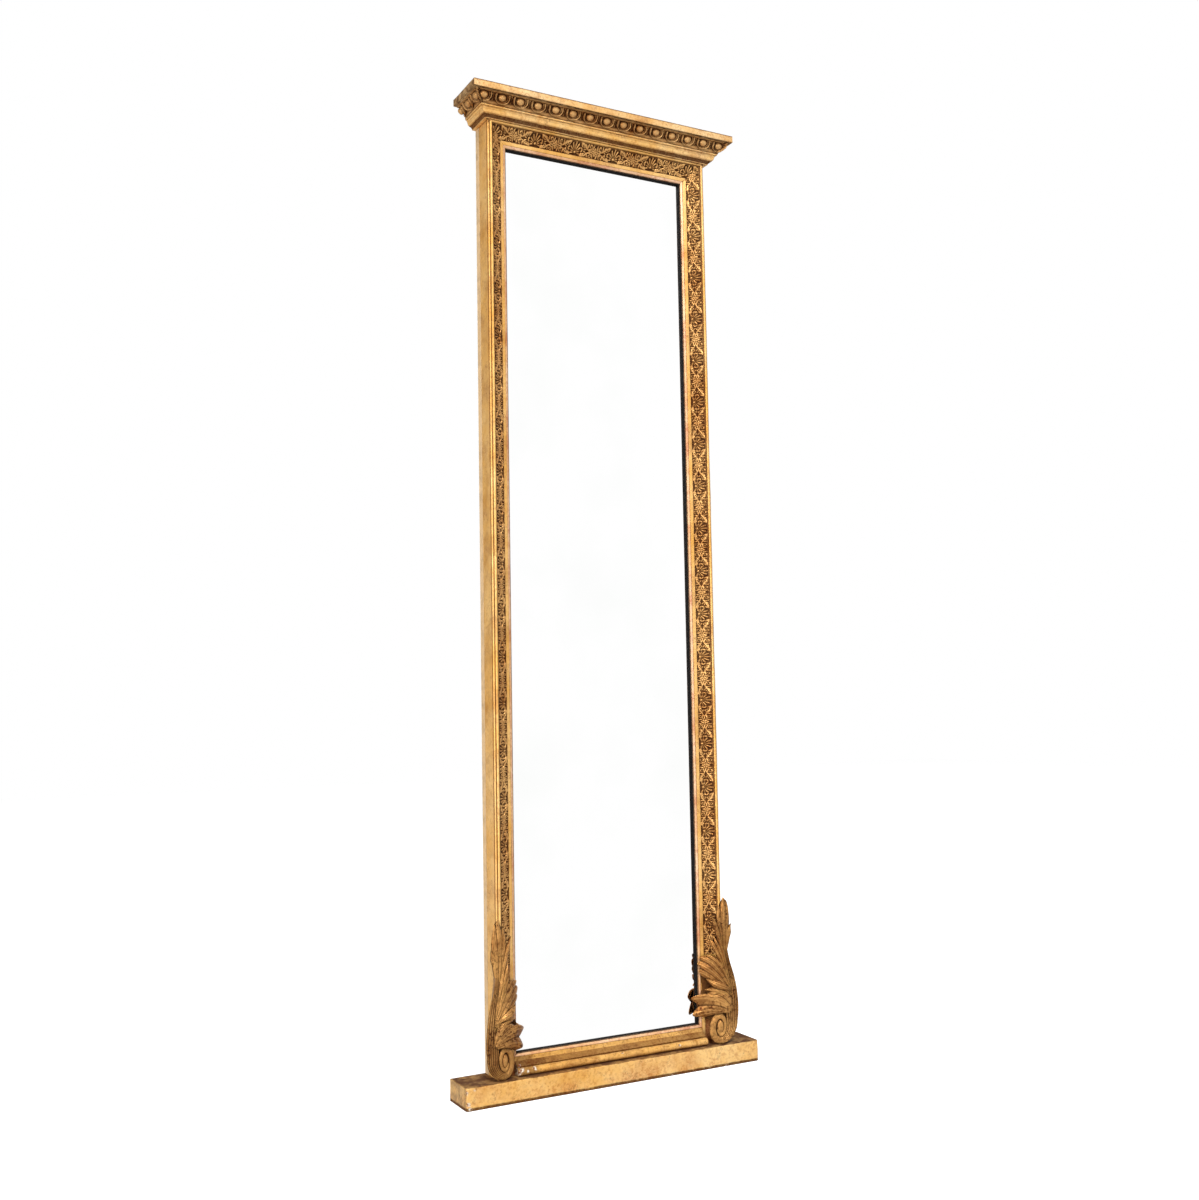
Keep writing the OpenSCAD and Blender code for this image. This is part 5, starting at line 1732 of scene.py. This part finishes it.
    def edges(self) -> tuple[Array, Array, Array, Array]:
        """The stem's outer and inner edge, down from its top and then round the volute.

        Down the stem both edges are curves of height. Round the volute each is a spiral that is taller than it is
        wide, and the inner edge at a turn lies just inside the outer edge one turn later.

        Returns:
            The outer edge, the inner edge, the height down the stem, and how far the volute has turned in degrees.
        """
        t = np.linspace(0, 1, self.stations)
        h = np.interp(t, [0, self.stem_share], [self.stem_h[0], self.stem_h[-1]])
        outer_o, inner_o = self.on_stem(self.stem_outer, h), self.on_stem(self.stem_inner, h)
        last = self.turn_at[-1]
        angle = np.clip((t - self.stem_share) / (1 - self.stem_share), 0, 1) * last
        theta = np.radians(self.start_angle - angle)
        later = np.minimum(angle + self.follow_turn, last)
        shrink = np.interp(angle, [0, last - self.follow_turn, last], [1, 1, 0.62])
        rounds = []
        for turned, factor in ((angle, 1.0), (later, shrink)):
            wide = smooth_through(self.turn_at, self.turn_wide, turned) * factor
            tall = smooth_through(self.turn_at, self.turn_tall, turned) * factor
            turn = [self.centre[0] + wide * np.cos(theta), self.centre[1] + tall * np.sin(theta)]
            rounds.append(np.stack(turn, axis=1))
        blend = np.clip((t - self.stem_share + 0.03) / 0.06, 0, 1)[:, None]
        blend = blend * blend * (3 - 2 * blend)
        outer = np.stack([outer_o, h], axis=1) * (1 - blend) + rounds[0] * blend
        inner = np.stack([inner_o, h], axis=1) * (1 - blend) + rounds[1] * blend
        return outer, inner, h, angle

    def stem(self) -> Shell:
        """The stem and volute: rings across the reeded face, down the reeded outer wall, and round the back.

        The face is highest along the stem's outer edge. Its reeds are the absolute value of a sine across it, and
        fade where it becomes the smooth band of the volute. The outer wall slopes in towards the back.
        """
        outer, inner, h, turned = self.edges()
        w = np.linspace(0, 1, 6 * self.reeds + 1)[None, :]
        outwards = unit(outer - inner)
        face_xy = inner[:, None] + (outer - inner)[:, None] * w[..., None]
        fade = np.interp(turned, [0, 90, 160, 240], [1.0, 1.0, 0.6, 0.5])[:, None]
        # the volute keeps its fine reeds on its outer side only
        fade = np.maximum(fade, np.clip(1 - turned / 300, 0, 1)[:, None] * (w > 0.45))
        reed = 1 - fade * (1 - np.abs(np.sin(self.reeds * np.pi * w)))
        high = self.on_stem(self.stem_depth, h)
        level = np.interp(turned, [0, 110, 540], [1, 0, 0])[:, None]
        wide = np.linalg.norm(outer - inner, axis=1)[:, None]
        share = np.clip(wide / 20, 0.2, 1)
        round_d = 3.2 * share * np.abs(2 * w - 1) ** 2.6
        lean_d = 1.4 * share * (2 * w - 1) ** 4 + 3.5 * share * (1 - w) ** 2
        face_d = high[:, None] * level + self.disc_d * (1 - level) - lean_d * level - round_d * (1 - level)
        face_d = face_d - self.reed_depth * share * (1 - reed) * (1 - 0.6 * (w > 0.97) * level)
        face_d = face_d - self.lean_back(face_xy[..., 0]) * (1 - level)
        rim = np.clip(1.25 - (1 - level) * np.abs(2 * w - 1) ** 3, 0.1, 1)
        face_relief = (0.05 + (0.92 - 0.52 * level) * reed) * rim
        fall = np.linspace(0.07, 1, self.wall_points)[None, :]
        wall_reed = np.abs(np.sin(self.wall_reeds * np.pi * fall))
        top_out, top_in = face_d[:, -1:], face_d[:, :1]
        back_out = np.minimum(self.seat(outer[:, 0])[:, None], top_out - self.least_wall)
        back_in = np.minimum(self.seat(inner[:, 0])[:, None], top_in - self.least_wall)
        wall_xy = outer[:, None] - outwards[:, None] * (self.wall_reed_depth * (1 - wall_reed) * share)[..., None]
        lean = self.undercut * np.clip(outer[:, 0] / 20, 0, 1) * np.clip(outwards[:, 0], 0, 1)
        inwards = self.wall_inwards * np.clip(-outwards[:, 0], 0, 1) * np.clip((turned - 90) / 40, 0, 1)
        wall_xy[..., 0] += (inwards - lean)[:, None] * fall
        wall_d = top_out + (back_out - top_out) * fall
        inner_xy = np.repeat(inner[:, None], self.back_points, axis=1)
        inner_d = back_in + (top_in - back_in) * np.linspace(0, 0.9, self.back_points)[None, :]
        xy = np.concatenate([face_xy, wall_xy, inner_xy], axis=1)
        depth = np.concatenate([face_d, wall_d, inner_d], axis=1)
        wall_relief = (0.1 + 0.7 * wall_reed) * np.clip(1 - (turned - 70) / 50, 0.15, 1)[:, None]
        relief = np.concatenate([face_relief, wall_relief, np.full(inner_d.shape, 0.1)], axis=1)
        return Shell(self.placed(xy[..., 0], np.maximum(xy[..., 1], 0.4), depth), relief)

    def eye(self) -> Shell:
        """The button at the volute's middle: an upright half ellipsoid of rings that close at its top."""
        angle = np.radians(np.linspace(3, 90, 10))[:, None]
        turn = np.linspace(0, 2 * np.pi, 31)[:-1][None, :]
        out = self.centre[0] + self.eye_r[0] * np.sin(angle) * np.cos(turn)
        up = self.centre[1] + self.eye_r[1] * np.sin(angle) * np.sin(turn)
        depth = self.disc_d - self.eye_sink + self.eye_rise * np.cos(angle) - self.lean_back(out)
        return Shell(self.placed(out, up, depth), 0.25 + 0.75 * np.cos(angle) ** 0.5)

    def two_sided(self, front: Array, back: Array, relief: Array) -> Shell:
        """A leaf from its front and back, both kept clear of what lies behind the bracket, and joined at the edge.

        Args:
            front: points of the front, out from the frame's side, up from the plinth and depth, in mm.
            back: points of the back.
            relief: relief of the front; the back has a fifth of it.

        Returns:
            The skin.
        """
        floor = self.seat(front[..., 0])
        front[..., 2] = np.maximum(front[..., 2], floor + self.front_clear)
        back[..., 2] = np.minimum(np.maximum(back[..., 2], floor + self.back_clear), front[..., 2] - self.least_t)
        out, up, depth = np.moveaxis(np.concatenate([front, back[:, ::-1]], axis=1), -1, 0)
        relief = np.concatenate([relief, relief[:, ::-1] * 0.2], axis=1)
        return Shell(self.placed(out, np.maximum(up, 0.5), depth), relief)

    def leaf(self, form: LeafForm) -> Shell:
        """A blade of acanthus: it spreads from the midrib, its edge has teeth, and it is crowned and fluted.

        The half width is the smooth width, less notches between the teeth, and closes to a point. Its height is a
        crown over the width, less a groove on the midrib and a flute on each side. Points sweep forward as they
        leave the midrib.

        Args:
            form: the blade's form.

        Returns:
            The skin, a front and a back joined at the edge.
        """
        u = np.linspace(0.0, 1.0, form.rows)[:, None]
        v = np.linspace(-1, 1, form.columns)[None, :]
        off = np.abs(v)
        ahead = np.clip(u + form.sweep * off * (1 - u) * 1.6, 0, 1)
        mid = bezier(form.midrib, ahead)
        before, after = (bezier(form.midrib, np.clip(ahead + way, 0, 1)) for way in (-0.01, 0.01))
        step = unit(after - before)
        side = unit(np.cross(step, np.array([0.0, 0.0, 1.0])))
        up = np.cross(side, step)
        width = smooth_through([0, 0.35, 0.72, 1], form.widths, u) * np.ones_like(v)
        phase = form.teeth * u + 0.1 * np.sign(v)
        tooth = np.abs(np.sin(np.pi * phase)) ** 0.6
        point = np.clip((1 - u) / 0.3, 0, 1) ** 0.6 * 0.96 + 0.04
        blade = width * (1 - form.cut * (1 - tooth) * off**1.3) * point
        groove = np.exp(-((v / 0.13) ** 2)) * (1 - 0.6 * u)
        flute = np.exp(-(((off - 0.55) / 0.16) ** 2)) * (1 - 0.5 * u)
        rise = form.crown * (1 - off**2.2) * (0.4 + 0.6 * point) - 1.1 * groove - 0.6 * flute
        across = side * (v * blade)[..., None]
        front = mid + across + up * rise[..., None]
        back = mid + across * 0.97 + up * (rise - form.thickness * (0.35 + 0.65 * point))[..., None]
        relief = np.clip(0.95 - 0.7 * groove - 0.45 * flute - 0.75 * off**6, 0, 1)
        return self.two_sided(front, back, relief)

    def fan(self, form: FanForm) -> Shell:
        """A broad acanthus leaf: a surface through its ribs, cut into points at its end and fluted along its ribs.

        Across the leaf the four points of the ribs follow smooth curves, and along it a rib is a cubic curve. The
        share of each rib that is kept dips between the points. Height is a crown across the leaf, less a channel
        between points and a finer vein within each.

        Args:
            form: the leaf's form.

        Returns:
            The skin, a front and a back joined at the edge.
        """
        u = np.linspace(0.0, 1.0, form.rows)[:, None]
        v = np.linspace(0.0, 1.0, form.columns)[None, :]
        keys = np.linspace(0, 1, len(form.ribs))
        ribs = np.array(form.ribs, float)
        control = [
            np.stack([smooth_through(keys, ribs[:, k, axis], v[0]) for axis in range(3)], axis=-1)[None]
            for k in range(4)
        ]
        wave = np.abs(np.sin(np.pi * form.points * v)) ** 0.75
        reach = u * (1 - form.cut * (1 - wave) * np.ones_like(u))
        mid = bezier(control, reach)
        normal = unit(np.cross(np.gradient(mid, axis=0), np.gradient(mid, axis=1)))
        normal *= np.sign(normal[..., 2:3].mean())
        rim = (1 - np.abs(2 * v - 1) ** 5) * np.clip((1 - u) / 0.18, 0, 1) ** 0.5
        vein = np.abs(np.sin(np.pi * form.points * form.veins * v)) ** 0.7
        channel = (1 - wave) * np.clip(u / 0.25, 0.25, 1)
        fine = np.abs(np.sin(2 * np.pi * form.points * form.veins * (v + 0.02 * np.sin(5 * u)))) ** 0.8
        rise = form.crown * rim - form.flute * channel - 0.55 * form.flute * (1 - vein) * np.clip(1.4 - u, 0, 1)
        rise = rise + (0.5 * np.sin(9 * u + 14 * v) + 0.25 * np.sin(27 * u - 19 * v)) * rim - 0.2 * (1 - fine)
        front = mid + normal * rise[..., None]
        back = mid + normal * (rise - form.thickness * (0.3 + 0.7 * rim))[..., None]
        relief = 1.0 - 0.5 * channel - 0.5 * (1 - vein) - 0.3 * (1 - fine) - 0.5 * (1 - rim) * (1 - u)
        return self.two_sided(front, back, np.clip(relief, 0, 1))

    def bent_down(self, form: FanForm, drop: float) -> FanForm:
        """A leaf with its tips lower by drop mm: the second, third and last points of each rib drop by thirds."""
        ribs = tuple(tuple((o, h - drop * k / 3, d) for k, (o, h, d) in enumerate(rib)) for rib in form.ribs)
        return replace(form, ribs=ribs)

    def body(self) -> Shell:
        """The wood under the leaves, between the stem and the moulding's inner edge: a low cushion in painted
        shade.
        """
        rows, columns = 70, 21
        low, high = self.body_h[0], self.body_h[-1]
        h = np.linspace(low, high, rows)[:, None]
        w = np.linspace(0, 1, columns)[None, :]
        right = self.on_stem(self.stem_inner, h) + 4
        left = smooth_through(self.body_h, self.body_reach, h)
        out = left + (right - left) * w
        floor = self.seat(out) + 0.2
        slope = np.interp(out, [-60, -45, -32, -20, -9, 5], [36, 41, 46, 52, 58, 60])
        end = np.sqrt(np.clip(np.minimum(h - low + 1, high + 1 - h) / 10, 0.02, 1))
        face = np.maximum(floor + 0.6, floor + (slope - floor) * end)
        round_o = np.concatenate([out, out[:, ::-1]], axis=1)
        round_d = np.concatenate([face, floor[:, ::-1]], axis=1)
        return Shell(self.placed(round_o, h, round_d), np.full(1, 0.12))

    def make(self) -> None:
        """Builds the pair."""
        shells = [self.stem(), self.eye(), self.body()]
        shells += [*map(self.leaf, self.leaves), *map(self.fan, self.fans[:-1])]
        # each was carved by hand, and the left one's lower leaf hangs lower
        for side, drop in ((Side.RIGHT, 0.0), (Side.LEFT, self.left_drop)):
            lower = self.fan(self.bent_down(self.fans[-1], drop))
            skins = [shell.on(side, made_for=Side.RIGHT) for shell in (*shells, lower)]
            name = f"{side.value}_scroll"
            build(name + "_carved", skins, Finish.CARVED, name + "_bracket", self.crease)


# ---------------------------------------------------------------- hidden and plain parts


@dataclass
class PlainParts:
    """The parts whose solids already have their true shape: they only take a finish."""

    nodes: dict[str, bpy.types.Object]
    groups: tuple[tuple[Finish, tuple[str, ...]], ...] = (
        (Finish.IRON, ("plinth_screws", "back_frame_screws", "backboard_nails", "core_screws", "cap_nails",
                       "left_hanging_plate", "right_hanging_plate", "hanging_plate_screws")),
        (Finish.BRASS, ("bracket_pins",)),
        (Finish.PINE, ("mitre_tongues", "rail_dowels", "glass_blocks", "cornice_core")),
        (Finish.OLD_PINE, ("left_back_stile", "right_back_stile")),
        (Finish.CROSS_PINE, ("top_back_rail", "bottom_back_rail")),
        (Finish.BOARD, ("upper_backboard", "lower_backboard")),
        (Finish.AMBER_BOARD, ("middle_backboard",)),
        (Finish.BLACK, ("left_black_fillet", "right_black_fillet", "top_black_fillet", "bottom_black_fillet")),
        (Finish.GLASS, ("mirror_plate",)),
    )

    def make(self) -> None:
        """Dresses the plain parts."""
        for finish, names in self.groups:
            for name in names:
                materials = self.nodes[name].data.materials
                materials.clear()
                materials.append(material(finish))
                log.info("%s: %s", name, finish.value.name)


# ---------------------------------------------------------------- room


def shown(thing: bpy.types.ID, name: str) -> bpy.types.Object:
    """A new object in the scene that shows a mesh, a lamp or a camera."""
    made = bpy.data.objects.new(name, thing)
    bpy.context.scene.collection.objects.link(made)
    return made


@dataclass
class Studio:
    """A white studio: pale floor, soft lamps, and a camera where the photographer stood."""

    lens: float = 38.885
    eye: tuple[float, float, float] = (-1.174194, -2.145727, 0.697652)
    turn: tuple[float, float, float] = (-0.0808769, -0.4941809, 0.0021390)
    world_light: float = 0.38
    floor_glow: float = 0.62
    floor_half: float = 9.0
    dim_room: float = 0.35
    bright_way: tuple[float, float, float] = (0.42, -0.9, 0.05)
    lamps: tuple[tuple[str, Sequence[float], Sequence[float], float, float], ...] = (
        ("key_softbox", (-1.2, -4.5, 5.6), (0, 0, 0.9), 2.2, 400),
        ("fill_softbox", (-3.2, -1.6, 0.9), (0, 0, 0.6), 1.8, 76),
    )

    def camera(self) -> None:
        """Places the camera: its base looks along +Y, then turns by the rotation vector."""
        angle = np.linalg.norm(self.turn)
        k = np.array(self.turn) / angle
        cross = np.array([[0, -k[2], k[1]], [k[2], 0, -k[0]], [-k[1], k[0], 0]])
        spin = np.eye(3) + math.sin(angle) * cross + (1 - math.cos(angle)) * cross @ cross
        to_view = spin @ np.array([[1, 0, 0], [0, 0, -1], [0, 1, 0]], float)
        axes = np.stack([to_view[0], -to_view[1], -to_view[2]], axis=1)
        data = bpy.data.cameras.new("photographer")
        data.lens, data.sensor_width = self.lens, 36.0
        data.clip_start, data.clip_end = 0.05, 60
        camera = shown(data, "photographer")
        camera.matrix_world = Matrix(axes.tolist()).to_4x4()
        camera.location = self.eye
        bpy.context.scene.camera = camera

    def lamp(self, name: str, at: Sequence[float], aim: Sequence[float], size: float, watts: float) -> None:
        """Adds a square soft lamp.

        Args:
            name: its name.
            at: where it stands.
            aim: what it points at.
            size: its side in metres.
            watts: its power.
        """
        data = bpy.data.lights.new(name, "AREA")
        data.size, data.energy = size, watts
        lamp = shown(data, name)
        from_to = np.array(aim) - np.array(at)
        back = unit(-from_to)
        right = unit(np.cross([0, 0, 1], back))
        lamp.matrix_world = Matrix(np.stack([right, np.cross(back, right), back], axis=1).tolist()).to_4x4()
        lamp.location = at

    def seen_directly(self, paint: Paint) -> bpy.types.NodeSocket:
        """One for rays from the camera and through glass, and zero for all others."""
        return paint.add(Node.GREATER, paint.add(Node.CAMERA_RAY), paint.add(Node.GLASS_RAY))

    def world(self) -> None:
        """A world that is white where it is seen, and lights the mirror at an even, lower level.

        What gloss reflects is the white wall in front on the right, fading to a dimmer room on the other sides.
        """
        world = bpy.data.worlds.new("white_studio")
        bpy.context.scene.world = world
        paint = Paint(world)
        add = paint.add
        toward = add(Node.ALONG, add(Node.WAY), self.bright_way)
        wall = add(Node.RANGE, toward, 0.15, 0.75, self.dim_room, 1.0)
        level = add(Node.BETWEEN, add(Node.GLOSS_RAY), self.world_light, wall)
        light, white = add(Node.BACKGROUND, "#FFFFFF", level), add(Node.BACKGROUND, "#FFFFFF")
        add(Node.SKY, add(Node.EITHER, self.seen_directly(paint), light, white))

    def floor(self) -> None:
        """A pale floor that reads as white, takes the mirror's shadow, and throws little light back up."""
        mesh, r = bpy.data.meshes.new("studio_floor"), self.floor_half
        mesh.from_pydata([(-r, -r, 0), (r, -r, 0), (r, r, 0), (-r, r, 0)], [], [(0, 1, 2, 3)])
        floor = shown(mesh, "studio_floor")
        paint = Paint(bpy.data.materials.new("studio_floor_paint"))
        add = paint.add
        # seen directly it is matt white lifted by a glow, to gloss it is plain white, and to other rays dull grey
        seen = add(Node.BOTH, add(Node.DIFFUSE, "#F3F3F3"), add(Node.GLOW, "#FFFFFF", self.floor_glow))
        other = add(Node.EITHER, add(Node.GLOSS_RAY), add(Node.DIFFUSE, "#A09E99"), add(Node.GLOW, "#FFFFFF"))
        add(Node.SURFACE, add(Node.EITHER, self.seen_directly(paint), other, seen))
        mesh.materials.append(paint.owner)

    def make(self) -> None:
        """Builds the room."""
        self.camera()
        self.world()
        self.floor()
        for lamp in self.lamps:
            self.lamp(*lamp)
        bpy.context.scene.view_settings.view_transform = "Standard"


def main() -> None:
    """Builds the mirror piece by piece."""
    logging.basicConfig(level=logging.INFO, format="%(message)s")
    Studio().make()
    PlainParts(frame["nodes"]).make()
    Plinth().make()
    FrameMouldings().make()
    CompositionOrnament().make()
    Cornice().make()
    ScrollBracket().make()


if __name__ == "__main__":
    main()
